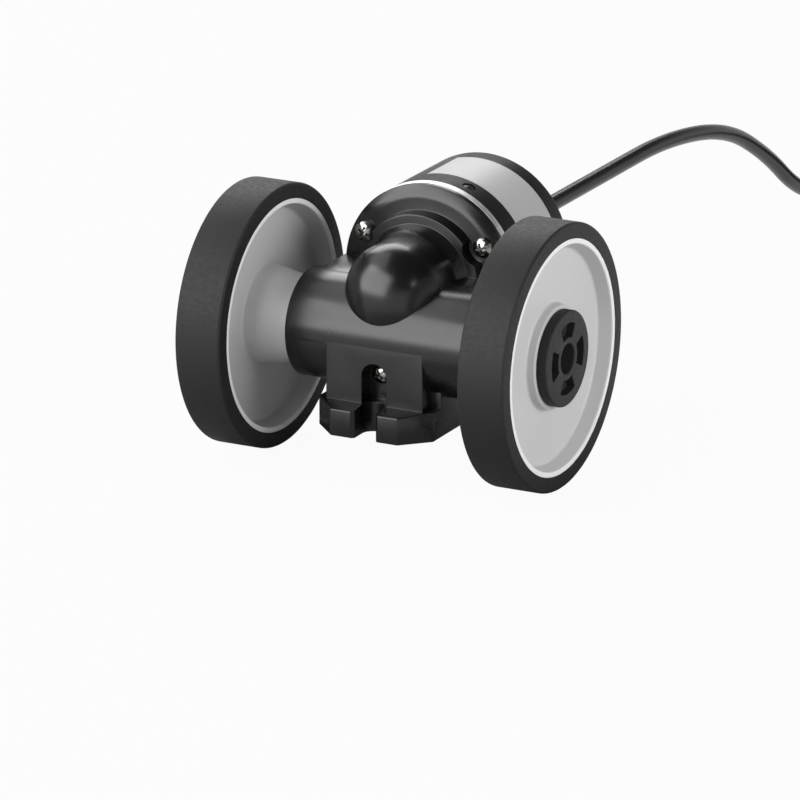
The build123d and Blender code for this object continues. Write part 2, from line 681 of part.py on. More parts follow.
def flange_and_dome():
    """The round part of the casting: the flange, its two steps and the domed gear case, turned about Y."""
    radius, centre = DOME_RADIUS, DOME_CENTRE_Y
    start = (centre - DOME_REACH, 0)
    rim = FLANGE_BACK_Y - FLANGE_RIM
    along, out = NECK_FILLET_SHARES
    neck = (NECK_FILLET_Y + (NECK_Y - NECK_FILLET_Y) * along, radius + (NECK_RADIUS - radius) * out)
    round_y = FLANGE_SHOULDER_Y + (rim - FLANGE_SHOULDER_Y) * FLANGE_ROUND_SHARE
    outline = make_face(
        [
            EllipticalCenterArc((centre, 0), DOME_REACH, radius, 90, arc_size=90),
            Line((centre, radius), (NECK_FILLET_Y, radius)),
            ThreePointArc((NECK_FILLET_Y, radius), neck, (NECK_Y, NECK_RADIUS)),
            Line((NECK_Y, NECK_RADIUS), (STEP_FRONT_Y, STEP_FRONT_RADIUS)),
            Line((STEP_FRONT_Y, STEP_FRONT_RADIUS), (FLANGE_FACE_Y, STEP_RADIUS)),
            Line((FLANGE_FACE_Y, STEP_RADIUS), (FLANGE_SHOULDER_Y, FLANGE_SHOULDER_RADIUS)),
            ThreePointArc(
                (FLANGE_SHOULDER_Y, FLANGE_SHOULDER_RADIUS),
                (round_y, FLANGE_RADIUS - FLANGE_ROUND_DROP),
                (rim, FLANGE_RADIUS),
            ),
            Line((rim, FLANGE_RADIUS), (FLANGE_BACK_Y, FLANGE_RADIUS)),
            Line((FLANGE_BACK_Y, FLANGE_RADIUS), (FLANGE_BACK_Y, 0)),
            Line((FLANGE_BACK_Y, 0), start),
        ]
    )
    shape = on_shaft(turned(outline, Axis.Y))
    for angle in SCREW_ANGLES[:2]:
        x, z = around_shaft(angle, SCREW_CIRCLE_RADIUS)
        shape -= rod_y(SCREW_POCKET_RADIUS, NECK_FILLET_Y, FLANGE_FACE_Y, x, SHAFT_HEIGHT + z)
    return shape


def foot():
    """The foot: the eight-sided base, the block under the tube and the wider cheeks beside it."""
    inner = BASE_HALF_DEPTH - BASE_CHAMFER
    narrow = CHEEK_HALF_WIDTH - BASE_CHAMFER
    corners = [(CHEEK_HALF_WIDTH, inner), (narrow, BASE_HALF_DEPTH)]
    corners += [(-x, y) for x, y in reversed(corners)]
    corners += [(-x, -y) for x, y in corners]
    plan = extrude(Polygon(*corners, align=None), BASE_TOP)
    side = Y_SIDE * Polygon(
        (-BASE_HALF_DEPTH, 0),
        (BASE_HALF_DEPTH, 0),
        (BASE_HALF_DEPTH, BASE_EDGE_THICKNESS),
        (TUBE_RADIUS, BASE_TOP),
        (-TUBE_RADIUS, BASE_TOP),
        (-BASE_HALF_DEPTH, BASE_EDGE_THICKNESS),
        align=None,
    )
    base = plan & extrude(side, CHEEK_HALF_WIDTH, both=True)
    middle = block((-BLOCK_HALF_WIDTH, -TUBE_RADIUS, 0), (BLOCK_HALF_WIDTH, BLOCK_BACK_Y, AXLE_HEIGHT))
    cheeks = block((-CHEEK_HALF_WIDTH, CHEEK_FRONT_Y, 0), (CHEEK_HALF_WIDTH, BLOCK_BACK_Y, CHEEK_TOP))
    return base + middle + cheeks


def notches():
    """The two open bolt notches in the base and the slot for the lower screw, as cutting shapes."""
    notch = extrude(Circle(NOTCH_RADIUS), BASE_TOP)
    depth = BASE_HALF_DEPTH - NOTCH_Y
    notch += block((-NOTCH_RADIUS, 0, 0), (NOTCH_RADIUS, depth + OVERRUN, BASE_TOP))
    for side in (-1, 1):
        corner = Polygon((0, 0), (side * NOTCH_MOUTH, 0), (0, -NOTCH_MOUTH), align=None)
        notch += Pos(side * NOTCH_RADIUS, depth, 0) * extrude(corner, BASE_TOP)
    rear = Pos(0, NOTCH_Y, 0) * notch
    front = mirror(rear, Plane.XZ)
    arch = SHAFT_HEIGHT - SCREW_CIRCLE_RADIUS
    slot = rod_y(SLOT_HALF_WIDTH, -BASE_HALF_DEPTH, SLOT_BACK_Y, 0, arch)
    slot += block((-SLOT_HALF_WIDTH, -BASE_HALF_DEPTH, BASE_TOP), (SLOT_HALF_WIDTH, SLOT_BACK_Y, arch))
    return rear + front + slot


def seats_across():
    """The bore of the tube: bearing seats, circlip grooves and the chamber round the drive gear."""
    bore = rod_x(CHAMBER_RADIUS, -BEARING_X, BEARING_X)
    seat = rod_x(BEARING_OUTER_RADIUS, BEARING_X, TUBE_END_X + OVERRUN)
    groove_start = BEARING_X + BEARING_WIDTH
    groove = rod_x(BEARING_OUTER_RADIUS + CIRCLIP_DEPTH, groove_start, groove_start + CIRCLIP_WIDTH)
    seat += groove
    return on_axle(bore + seat + mirrored(seat))


def seats_along():
    """The bores along the encoder shaft: front bush, gear chamber and the seat of the flange's pilot."""
    bush_radius = SHAFT_RADIUS + RUNNING + BUSH_WALL
    bore = rod_y(bush_radius, FRONT_BUSH_Y, GEAR_BORE_FRONT_Y)
    bore += rod_y(GEAR_BORE_RADIUS, GEAR_BORE_FRONT_Y, FLANGE_BACK_Y)
    bore += rod_y(PILOT_RADIUS, FLANGE_BACK_Y - PILOT_DEPTH, FLANGE_BACK_Y)
    for angle in SCREW_ANGLES:
        x, z = around_shaft(angle, SCREW_CIRCLE_RADIUS)
        bore += rod_y(SCREW_HOLE_RADIUS, SLOT_BACK_Y - OVERRUN, FLANGE_BACK_Y, x, z)
    return on_shaft(bore)


def gear_housing():
    """The body casting in one piece."""
    tube = rod_x(TUBE_RADIUS, -TUBE_END_X, TUBE_END_X)
    rims = tube.edges().filter_by(GeomType.CIRCLE)
    tube = on_axle(chamfer(rims, TUBE_EDGE))
    saddle = block(
        (-SADDLE_HALF_WIDTH, 0, AXLE_HEIGHT - SADDLE_DEPTH),
        (SADDLE_HALF_WIDTH, SADDLE_BACK_Y, AXLE_HEIGHT + TUBE_RADIUS),
    )
    casting = tube + saddle + flange_and_dome() + foot()
    casting -= seats_across()
    casting -= seats_along()
    return casting - notches()


# Encoder.


def encoder_flange():
    """The turned flange that joins the encoder to the casting and carries the rear bush."""
    spigot_outer = COVER_RADIUS - COVER_WALL
    bush_radius = SHAFT_RADIUS + RUNNING + BUSH_WALL
    sleeve_hole = SHAFT_RADIUS + SHAFT_SPACER_WALL + APART
    flange = turned(
        [
            (FLANGE_BACK_Y - PILOT_DEPTH, sleeve_hole),
            (rear_bush_y(), sleeve_hole),
            (rear_bush_y(), bush_radius),
            (PLATE_BACK_Y + PLATE_BOSS_RISE, bush_radius),
            (PLATE_BACK_Y + PLATE_BOSS_RISE, PLATE_BOSS_RADIUS),
            (PLATE_BACK_Y, PLATE_BOSS_RADIUS),
            (PLATE_BACK_Y, spigot_outer - SPIGOT_WALL),
            (SPIGOT_BACK_Y, spigot_outer - SPIGOT_WALL),
            (SPIGOT_BACK_Y, spigot_outer),
            (RING_BACK_Y, spigot_outer),
            (RING_BACK_Y, RING_RADIUS - RING_EDGE),
            (RING_BACK_Y - RING_EDGE, RING_RADIUS),
            (FLANGE_BACK_Y + RING_EDGE, RING_RADIUS),
            (FLANGE_BACK_Y, RING_RADIUS - RING_EDGE),
            (FLANGE_BACK_Y, PILOT_RADIUS),
            (FLANGE_BACK_Y - PILOT_DEPTH, PILOT_RADIUS),
        ],
        Axis.Y,
    )
    depth = O_RING_RADIUS * 2
    flange -= ring(
        spigot_outer - depth, spigot_outer + OVERRUN, O_RING_Y - O_RING_RADIUS, O_RING_Y + O_RING_RADIUS, Axis.Y
    )
    for angle in SCREW_ANGLES:
        x, z = around_shaft(angle, SCREW_CIRCLE_RADIUS)
        flange -= rod_y(SCREW_RADIUS, FLANGE_BACK_Y, SCREW_TIP_Y, x, z)
    return on_shaft(flange - cover_screw_holes())


def cover_screw_holes():
    """The radial holes for the cover's screws, with their countersunk seats."""
    holes = []
    for angle in COVER_SCREW_ANGLES:
        holes.append(cover_screw_at(angle, extrude(Circle(COVER_SCREW_RADIUS), -COVER_SCREW_HOLE_DEPTH)))
        seat = extrude(Circle(COVER_SCREW_HEAD_RADIUS), COVER_SCREW_HEAD_HEIGHT + OVERRUN)
        seat = Pos(0, 0, -COVER_SCREW_HEAD_HEIGHT) * seat
        holes.append(cover_screw_at(angle, seat))
    return holes


def cover_screw_at(angle, shape):
    """Turns a shape that stands on z = 0 to stand on the cover's surface at an angle about the encoder axis."""
    return Rot(0, 90 - angle, 0) * Pos(0, COVER_SCREW_Y, COVER_RADIUS) * shape


def cover_screws():
    """The three small screws round the cover."""
    screw = pan_screw(COVER_SCREW_LENGTH, COVER_SCREW_RADIUS, COVER_SCREW_HEAD_RADIUS, COVER_SCREW_HEAD_HEIGHT)
    sunk = Pos(0, 0, -COVER_SCREW_HEAD_HEIGHT) * screw
    return [on_shaft(cover_screw_at(angle, sunk)) for angle in COVER_SCREW_ANGLES]


def label_ring(thickness, extra=0.0):
    """The curved band that the label covers."""
    section = Y_SIDE * Polygon(
        (LABEL_FRONT_Y, COVER_RADIUS - thickness),
        (LABEL_BACK_Y, COVER_RADIUS - thickness),
        (LABEL_BACK_Y, COVER_RADIUS + extra),
        (LABEL_FRONT_Y, COVER_RADIUS + extra),
        align=None,
    )
    return Rot(0, 90 - LABEL_START, 0) * revolve(section, Axis.Y, LABEL_SPAN)


def encoder_cover():
    """The cup-shaped cover over the code disc and the circuit board."""
    inside = COVER_RADIUS - COVER_WALL
    back = COVER_BACK_Y - COVER_BACK_WALL
    cover = turned(
        [
            (RING_BACK_Y, inside),
            (back, inside),
            (back, GLAND_NECK_RADIUS),
            (COVER_BACK_Y, GLAND_NECK_RADIUS),
            (COVER_BACK_Y, COVER_RADIUS - COVER_EDGE),
            (COVER_BACK_Y - COVER_EDGE, COVER_RADIUS),
            (RING_BACK_Y, COVER_RADIUS),
        ],
        Axis.Y,
    )
    cover -= label_ring(LABEL_THICKNESS, OVERRUN)
    return on_shaft(cover - cover_screw_holes())


def standoffs():
    """The three pillars that hold the circuit board off the flange."""
    pillars = []
    for angle in STANDOFF_ANGLES:
        x, z = around_shaft(angle, STANDOFF_CIRCLE)
        pillar = rod_y(STANDOFF_RADIUS, PLATE_BACK_Y, BOARD_Y, x, z)
        thread = rod_y(BOARD_SCREW_RADIUS, BOARD_Y - BOARD_SCREW_LENGTH, BOARD_Y, x, z)
        pillars.append(on_shaft(pillar - thread))
    return pillars


def circuit_board():
    """The round circuit board."""
    board = rod_y(BOARD_RADIUS, BOARD_Y, BOARD_Y + BOARD_THICKNESS)
    for angle in STANDOFF_ANGLES:
        x, z = around_shaft(angle, STANDOFF_CIRCLE)
        board -= rod_y(BOARD_SCREW_RADIUS, BOARD_Y, BOARD_Y + BOARD_THICKNESS, x, z)
    return on_shaft(board)


def board_screws():
    """The three screws that hold the circuit board."""
    seat = BOARD_Y + BOARD_THICKNESS
    length = BOARD_THICKNESS + BOARD_SCREW_LENGTH
    screw = pan_screw(length, BOARD_SCREW_RADIUS, BOARD_SCREW_HEAD_RADIUS, BOARD_SCREW_HEAD)
    screws = []
    for angle in STANDOFF_ANGLES:
        x, z = around_shaft(angle, STANDOFF_CIRCLE)
        screws.append(on_shaft(Pos(x, seat, z) * Rot(-90, 0, 0) * screw))
    return screws


def chips():
    """The parts on the back of the circuit board, each as (x, z, side, height)."""
    back = BOARD_Y + BOARD_THICKNESS
    pieces = []
    for x, z, side, height in CHIPS:
        half = side / 2
        pieces.append(on_shaft(block((x - half, back, z - half), (x + half, back + height, z + half))))
    return pieces


def connector():
    """The socket on the board that the cable's wires go into."""
    width, depth, height = CONNECTOR_SIZE
    back = BOARD_Y + BOARD_THICKNESS
    return on_shaft(block((-width / 2, back, -height / 2), (width / 2, back + depth, height / 2)))


def light_source():
    """The lamp block in front of the code disc, with its round lens."""
    half = LAMP_SIDE / 2
    face = LAMP_BACK_Y - LENS_RISE
    body = block((-half, PLATE_BACK_Y, OPTICS_OFFSET - half), (half, face, OPTICS_OFFSET + half))
    return on_shaft(body + rod_y(LENS_RADIUS, face, LAMP_BACK_Y, 0, OPTICS_OFFSET))


def fixed_mask():
    """The slit plate between the code disc and the light sensor."""
    half = SENSOR_SIDE / 2
    plate = block(
        (-half, MASK_Y, OPTICS_OFFSET - half),
        (half, MASK_Y + MASK_THICKNESS, OPTICS_OFFSET + half),
    )
    for x in MASK_SLITS:
        plate -= block(
            (x - SLIT_HALF_WIDTH, MASK_Y, OPTICS_OFFSET - SLIT_HALF_HEIGHT),
            (x + SLIT_HALF_WIDTH, MASK_Y + MASK_THICKNESS, OPTICS_OFFSET + SLIT_HALF_HEIGHT),
        )
    return on_shaft(plate)


def light_sensor():
    """The light sensor block on the front of the circuit board."""
    half = SENSOR_SIDE / 2
    front = MASK_Y + MASK_THICKNESS
    return on_shaft(block((-half, front, OPTICS_OFFSET - half), (half, BOARD_Y, OPTICS_OFFSET + half)))


# Screws on the casting.


def flange_screw(angle):
    """One of the screws that hold the encoder, whose head seats on the casting at that angle."""
    seat = SLOT_BACK_Y if angle == SCREW_ANGLES[2] else FLANGE_FACE_Y
    x, z = around_shaft(angle, SCREW_CIRCLE_RADIUS)
    return on_shaft(Pos(x, seat, z) * Rot(90, 0, 0) * pan_screw(SCREW_TIP_Y - seat))


# Cable.


def cable_gland():
    """The moulded bush that holds the cable in the cover's back wall."""
    back = COVER_BACK_Y - COVER_BACK_WALL
    return on_shaft(
        turned(
            [
                (back - GLAND_COLLAR, CABLE_RADIUS),
                (GLAND_TIP_Y, CABLE_RADIUS),
                (GLAND_TIP_Y, GLAND_TIP_RADIUS),
                (COVER_BACK_Y, GLAND_OUTER_RADIUS),
                (COVER_BACK_Y, GLAND_NECK_RADIUS),
                (back, GLAND_NECK_RADIUS),
                (back, GLAND_COLLAR_RADIUS),
                (back - GLAND_COLLAR, GLAND_COLLAR_RADIUS),
            ],
            Axis.Y,
        )
    )


def cable_inner_end():
    """The end of the cable inside the gland and the cover."""
    return on_shaft(rod_y(CABLE_RADIUS, CABLE_INNER_Y, GLAND_TIP_Y))


def cable_stop():
    """The crimped ring that keeps the cable from being pulled out of the gland."""
    return on_shaft(ring(CABLE_RADIUS, STOP_RADIUS, CABLE_INNER_Y, CABLE_INNER_Y + STOP_LENGTH, Axis.Y))


def lead_wires():
    """The thin wires from the cable to the board's connector."""
    start = BOARD_Y + BOARD_THICKNESS + CONNECTOR_SIZE[1]
    wires = []
    for index in range(WIRE_COUNT):
        x, z = around_shaft(90 + index * 360 / WIRE_COUNT, WIRE_OFFSET)
        wires.append(on_shaft(rod_y(WIRE_RADIUS, start, CABLE_INNER_Y, x, z)))
    return wires


def route_radii(points):
    """The bend radius at each inner point of a route: as large as its shorter run allows."""
    radii = []
    for before, here, after in zip(points, points[1:], points[2:]):
        first = Vector(*here) - Vector(*before)
        second = Vector(*after) - Vector(*here)
        turn = math.radians(first.get_angle(second))
        radii.append(ROUND_SHARE * min(first.length, second.length) / math.tan(turn / 2))
    return radii


def cable_tube():
    """The cable from the gland to its coil, as straight runs joined by tangent arcs."""
    radii = route_radii(CABLE_ROUTE)
    print("cable bend radii", [round(r, 1) for r in radii])
    path = FilletPolyline(*CABLE_ROUTE, radius=radii)
    start = Plane(origin=CABLE_ROUTE[0], z_dir=(0, 1, 0))
    tube = sweep(start * Circle(CABLE_RADIUS), path=path)
    print("cable run", round(path.length, 1), "volume ratio", tube.volume / (math.pi * CABLE_RADIUS**2 * path.length))
    return tube


def coil_section():
    """The rounded section of the ring that the coil's turns fill."""
    width = COIL_OUTER_RADIUS - COIL_INNER_RADIUS
    section = Pos(COIL_INNER_RADIUS, 0) * Rectangle(width, COIL_HEIGHT, align=Align.MIN)
    return fillet(section.vertices(), COIL_CORNER)


def cable_coil():
    """The put-away length of the cable: the ring that its turns fill, and the stub that the cable runs into."""
    step = Pos(COIL_INNER_RADIUS, COIL_HEIGHT) * Rectangle(
        LEAD_STEP_WIDTH, LEAD_STEP_DEPTH, align=(Align.MIN, Align.MAX)
    )
    coil = revolve(Plane.XZ * (coil_section() - step), Axis.Z)
    end = CABLE_ROUTE[-1]
    return at_coil(coil) + rod_y(CABLE_RADIUS, end[1], COIL_CENTRE_Y, end[0], end[2])


def at_coil(shape):
    """Moves a piece modelled about the Z axis, on z = 0, to the coil's place above its tie."""
    return Pos(COIL_CENTRE_X, COIL_CENTRE_Y, COIL_BASE) * shape


def cable_leads():
    """The bare leads at the cable's far end, which lie on the coil's lower turns."""
    step_top = COIL_HEIGHT - LEAD_STEP_DEPTH
    leads = []
    for out, up in LEAD_PLACES:
        radius = COIL_INNER_RADIUS + out * WIRE_RADIUS
        section = Pos(radius, step_top + up * WIRE_RADIUS) * Circle(WIRE_RADIUS)
        lead = revolve(Plane.XZ * section, Axis.Z, math.degrees(LEAD_LENGTH / radius))
        leads.append(at_coil(Rot(0, 0, LEAD_ANGLE) * lead))
    return leads


def cable_tie():
    """The band round the coil."""
    middle = (COIL_INNER_RADIUS + COIL_OUTER_RADIUS) / 2
    inner = coil_section()
    band = offset(inner, TIE_THICKNESS) - inner
    turn = math.degrees(TIE_WIDTH / middle)
    loop = revolve(Plane.XZ * band, Axis.Z, turn)
    return at_coil(Rot(0, 0, TIE_ANGLE) * loop)


def save(name, shape):
    """Writes one sub-part, a single piece or a group of like pieces, to its own file."""
    if isinstance(shape, (list, tuple)):
        solids = [solid for item in shape for solid in item.solids()]
        shape = Compound(children=solids)
    else:
        solids = shape.solids()
        shape = solids[0] if len(solids) == 1 else Compound(children=solids)
    export_step(shape, os.path.join("parts", name + ".step"))


def save_pair(name, shape):
    """Writes a piece modelled for the right-hand end, and its mirror image for the left."""
    save(name + "_right", on_axle(shape))
    save(name + "_left", on_axle(mirrored(shape)))


def main():
    """Builds and writes every sub-part."""
    os.makedirs("parts", exist_ok=True)
    save("gear_housing", gear_housing())
    save("flange_screws_upper", [flange_screw(angle) for angle in SCREW_ANGLES[:2]])
    save("flange_screw_lower", flange_screw(SCREW_ANGLES[2]))

    save_pair("tyre", tyre())
    save_pair("wheel_hub", wheel_hub())
    save_pair("hub_cap", hub_cap())
    pin = on_axle(wheel_pin())
    save("wheel_drive_pins", [pin, mirrored(pin)])
    washer = on_axle(wheel_washer())
    save("wheel_washers", [washer, mirrored(washer)])
    screw = on_axle(wheel_screw())
    save("wheel_screws", [screw, mirrored(screw)])

    save("axle", on_axle(axle()))
    save("drive_gear", on_axle(drive_gear()))
    save("drive_gear_pin", on_axle(drive_pin()))
    gear_end = DRIVE_FACE / 2 + GEAR_HUB_LENGTH
    inner_sleeves = [sleeve_on_axle(gear_end, BEARING_X), sleeve_on_axle(-BEARING_X, -DRIVE_FACE / 2)]
    save("gear_spacers", [on_axle(sleeve) for sleeve in inner_sleeves])
    outer_sleeve = sleeve_on_axle(BEARING_X + BEARING_WIDTH, TUBE_END_X + BOSS_GAP)
    save("wheel_spacers", [on_axle(outer_sleeve), on_axle(mirrored(outer_sleeve))])
    outer_ring, inner_ring = bearing_rings()
    save_pair("bearing_outer_ring", outer_ring)
    save_pair("bearing_inner_ring", inner_ring)
    balls = bearing_balls()
    save("bearing_balls_right", [on_axle(ball) for ball in balls])
    save("bearing_balls_left", [on_axle(mirrored(ball)) for ball in balls])
    clip = on_axle(circlip())
    save("bearing_circlips", [clip, mirrored(clip)])
    save_pair("axle_seal", axle_seal())

    save("encoder_shaft", on_shaft(encoder_shaft()))
    save("driven_gear", on_shaft(driven_gear()))
    save("driven_gear_pin", on_shaft(driven_pin()))
    save("shaft_bush_front", on_shaft(bush(FRONT_BUSH_Y, FRONT_BUSH_LENGTH)))
    save("shaft_bush_rear", on_shaft(bush(rear_bush_y(), REAR_BUSH_LENGTH)))
    front_sleeve = shaft_sleeve(FRONT_BUSH_Y + FRONT_BUSH_LENGTH + THRUST_PLAY, -DRIVEN_FACE / 2)
    rear_sleeve = shaft_sleeve(DRIVEN_FACE / 2 + GEAR_HUB_LENGTH, rear_bush_y() - THRUST_PLAY)
    save("shaft_spacers", [on_shaft(front_sleeve), on_shaft(rear_sleeve)])
    save("disc_hub", on_shaft(disc_hub()))
    save("code_disc", on_shaft(code_disc()))
    save("disc_clamp", on_shaft(disc_clamp()))

    save("encoder_flange", encoder_flange())
    save("encoder_cover", encoder_cover())
    save("label_band", on_shaft(label_ring(LABEL_THICKNESS)))
    save("cover_screws", cover_screws())
    seal = Pos(0, O_RING_Y, 0) * Rot(90, 0, 0) * Torus(COVER_RADIUS - COVER_WALL - O_RING_RADIUS, O_RING_RADIUS)
    save("cover_o_ring", on_shaft(seal))
    save("board_standoffs", standoffs())
    save("circuit_board", circuit_board())
    save("board_screws", board_screws())
    save("board_chips", chips())
    save("board_connector", connector())
    save("light_source", light_source())
    save("fixed_mask", fixed_mask())
    save("light_sensor", light_sensor())

    save("cable_gland", cable_gland())
    save("cable_inner_end", cable_inner_end())
    save("cable_stop", cable_stop())
    save("lead_wires", lead_wires())
    save("cable_tube", cable_tube())
    save("cable_coil", cable_coil())
    save("cable_tie", cable_tie())
    save("cable_leads", cable_leads())


if __name__ == "__main__":
    main()
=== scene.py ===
"""The finished look of a measuring wheel encoder, built round its CAD frame.

Sizes are in metres, in the frame's axes: +X along the wheel axle, +Y back to the cable and +Z up.
"""

import math

import bpy
from bpy.props import FloatProperty, FloatVectorProperty, IntProperty, PointerProperty
from mathutils import Matrix, Vector


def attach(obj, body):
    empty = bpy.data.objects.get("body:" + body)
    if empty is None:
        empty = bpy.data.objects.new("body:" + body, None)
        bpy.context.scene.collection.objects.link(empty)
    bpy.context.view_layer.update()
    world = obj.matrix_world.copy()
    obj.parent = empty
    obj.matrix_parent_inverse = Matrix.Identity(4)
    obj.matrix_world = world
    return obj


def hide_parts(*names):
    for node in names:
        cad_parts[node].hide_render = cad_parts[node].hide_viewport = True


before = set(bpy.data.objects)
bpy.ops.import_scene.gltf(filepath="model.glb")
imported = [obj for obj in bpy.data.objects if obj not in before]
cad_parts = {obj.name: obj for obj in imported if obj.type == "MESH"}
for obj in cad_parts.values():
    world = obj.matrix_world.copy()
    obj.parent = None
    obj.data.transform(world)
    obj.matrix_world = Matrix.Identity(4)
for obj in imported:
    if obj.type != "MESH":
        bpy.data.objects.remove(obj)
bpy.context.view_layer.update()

bl_info = {
    "name": "Measuring wheel encoder",
    "version": (1, 0, 0),
    "blender": (4, 5, 0),
    "location": "3D View > Sidebar > Encoder",
    "description": "Builds the finished pieces of a measuring wheel encoder and a plain studio round it",
    "category": "Object",
}

MM = 0.001
TAU = 2 * math.pi
AXLE_HEIGHT = 26.43 * MM
SHAFT_HEIGHT = 39.82 * MM
TO_AXLE = Matrix.Translation((0, 0, AXLE_HEIGHT))
TO_SHAFT = Matrix.Translation((0, 0, SHAFT_HEIGHT))
TO_LEFT = Matrix.Scale(-1, 4, (1, 0, 0))

# How far a cutter stands out of the face that it opens, and how near two points are one.
CUT = 1.0 * MM
SAME_POINT = 0.002 * MM

# Sizes that the casting, the encoder's flange, its cover and the gland share.
BUSH_SEAT = 5.05 * MM
PILOT = 12.5 * MM
PILOT_DEPTH = 3.0 * MM
GLAND_HOLE = 4.6 * MM
BACK_WALL = 2.0 * MM

# The angle of each of the encoder's screws on its circle, and the turn of its cross.
BODY_SCREWS = ((30, 20), (150, 65), (270, 35))

# The radius from which the hubs' lips are painted paler, a painted highlight for the light that their edges
# catch.
LIP_HIGHLIGHT_START = 33.45 * MM


def mm(name, description, size):
    """A length property whose default is given in millimetres."""
    return FloatProperty(name=name, description=description, default=size * MM, unit="LENGTH", precision=5)


def angle_prop(name, description, degrees):
    """An angle property whose default is given in degrees."""
    return FloatProperty(name=name, description=description, default=math.radians(degrees), subtype="ANGLE")


def count_prop(name, description, count):
    """A whole number property."""
    return IntProperty(name=name, description=description, default=count, min=1)


def linear(hex_colour):
    """The linear colour of a written one such as 404040."""
    shares = [int(hex_colour[i : i + 2], 16) / 255 for i in (0, 2, 4)]
    return [s / 12.92 if s <= 0.04045 else ((s + 0.055) / 1.055) ** 2.4 for s in shares]


def colour_prop(name, description, hex_colour):
    """A colour property whose default is a written colour."""
    return FloatVectorProperty(
        name=name, description=description, default=linear(hex_colour), subtype="COLOR", size=3, min=0, max=1
    )


# Sizes and colours.


class WheelSizes(bpy.types.PropertyGroup):
    """Sizes of the two wheels."""

    radius: mm("Radius", "Outer radius of the tyre", 39.789)
    outer_x: mm("Outer face", "Distance of the wheel's outer face from the middle", 53.34)
    width: mm("Width", "Width of the tyre", 14.75)
    tyre: mm("Tyre thickness", "Thickness of the rubber", 4.73)
    tyre_edge: mm("Tyre edge", "Rounding of the tyre's edges", 0.8)
    lip: mm("Lip", "Width of the hub's bright lip", 1.5)
    dish_outer: mm("Outer dish", "Depth of the web below the outer face", 4.5)
    dish_inner: mm("Inner dish", "Depth of the web below the inner face", 5.7)
    flare: mm("Dish flare", "How far the dish's wall leans in", 1.4)
    boss: mm("Outer boss", "Radius of the boss round the cap", 15.4)
    boss_rise: mm("Boss rise", "Height of the outer boss above the web", 2.65)
    inner_boss: mm("Inner boss", "Radius of the inner boss at the web", 15.0)
    boss_tip: mm("Inner boss tip", "Radius of the inner boss at its tip", 12.4)
    boss_tip_x: mm("Inner boss end", "Distance of the inner boss's tip from the middle", 30.85)
    axle: mm("Axle", "Radius of the axle", 3.0)
    axle_end: mm("Axle end", "Distance of the axle's end from the middle", 47.5)
    socket: mm("Cap socket", "Radius of the socket for the cap", 11.0)


class CapSizes(bpy.types.PropertyGroup):
    """Sizes of the caps on the hubs."""

    radius: mm("Radius", "Radius of the cap", 14.3)
    face_x: mm("Face", "Distance of the cap's face from the middle", 54.75)
    hole: mm("Hole", "Radius of the hole for the screwdriver", 4.55)
    spigot: mm("Spigot", "Length of the part pressed into the hub", 1.2)
    window_inner: mm("Window inside", "Inner radius of the windows", 6.3)
    window_outer: mm("Window outside", "Outer radius of the windows", 10.7)
    window_depth: mm("Window depth", "Depth of the windows", 2.6)
    windows: count_prop("Windows", "How many windows the cap has", 4)
    window_angle: angle_prop("Window angle", "Angle that a window spans", 53)


class CastingSizes(bpy.types.PropertyGroup):
    """Sizes of the gear housing."""

    tube: mm("Tube radius", "Radius of the tube round the axle", 16.33)
    tube_end: mm("Tube end", "Distance of the tube's end from the middle", 29.65)
    dome: mm("Dome radius", "Radius of the domed gear case", 14.92)
    dome_y: mm("Dome centre", "Where the dome's round front is centred", -2.69)
    dome_reach: mm("Dome reach", "How far the dome's nose stands out from its centre", 13.9)
    flange: mm("Flange radius", "Radius of the round flange", 27.3)
    flange_back: mm("Flange back", "Where the flange meets the encoder", 19.85)
    flange_face: mm("Flange face", "Where the upper screws seat", 16.1)
    saddle: mm("Saddle half width", "Half the width of the saddle behind the tube", 26.8)
    block: mm("Block half width", "Half the width of the block under the tube", 15.85)
    cheek: mm("Cheek half width", "Half the width of the base and its cheeks", 18.85)
    base: mm("Base half depth", "Half the depth of the base", 22.9)
    base_top: mm("Base top", "Height of the base at the block", 9.0)
    notch: mm("Notch radius", "Radius of the bolt notches", 3.5)
    notch_y: mm("Notch place", "Distance of a bolt from the middle", 16.9)
    slot: mm("Slot half width", "Half the width of the slot for the lower screw", 4.1)
    slot_back: mm("Slot end", "Where the lower screw seats", -10.5)


class ScrewSizes(bpy.types.PropertyGroup):
    """Sizes of the cross-recessed screws."""

    circle: mm("Screw circle", "Radius of the circle of the encoder's screws", 22.5)
    head: mm("Head radius", "Radius of a screw head", 3.0)
    height: mm("Head height", "Height of a screw head", 2.4)
    shank: mm("Shank radius", "Radius of the thread", 1.5)
    tip_y: mm("Tip", "Where the encoder's screws end", 25.6)
    recess: mm("Recess span", "Span of the cross recess", 3.4)


class EncoderSizes(bpy.types.PropertyGroup):
    """Sizes of the encoder's flange, cover and label."""

    ring: mm("Ring radius", "Radius of the bright flange", 27.45)
    ring_back: mm("Ring back", "Where the bright flange meets the cover", 22.37)
    cover: mm("Cover radius", "Radius of the cover", 27.4)
    cover_wall: mm("Cover wall", "Thickness of the cover's wall", 1.6)
    cover_back: mm("Cover back", "Where the cover ends", 57.75)
    cover_edge: mm("Cover edge", "Rounding of the cover's back edge", 1.2)
    label_front: mm("Label front", "Where the label starts", 30.69)
    label_back: mm("Label back", "Where the label ends", 50.70)
    label_depth: mm("Label thickness", "Thickness of the label", 0.2)
    gland_tip: mm("Gland tip", "Where the cable leaves its gland", 66.0)


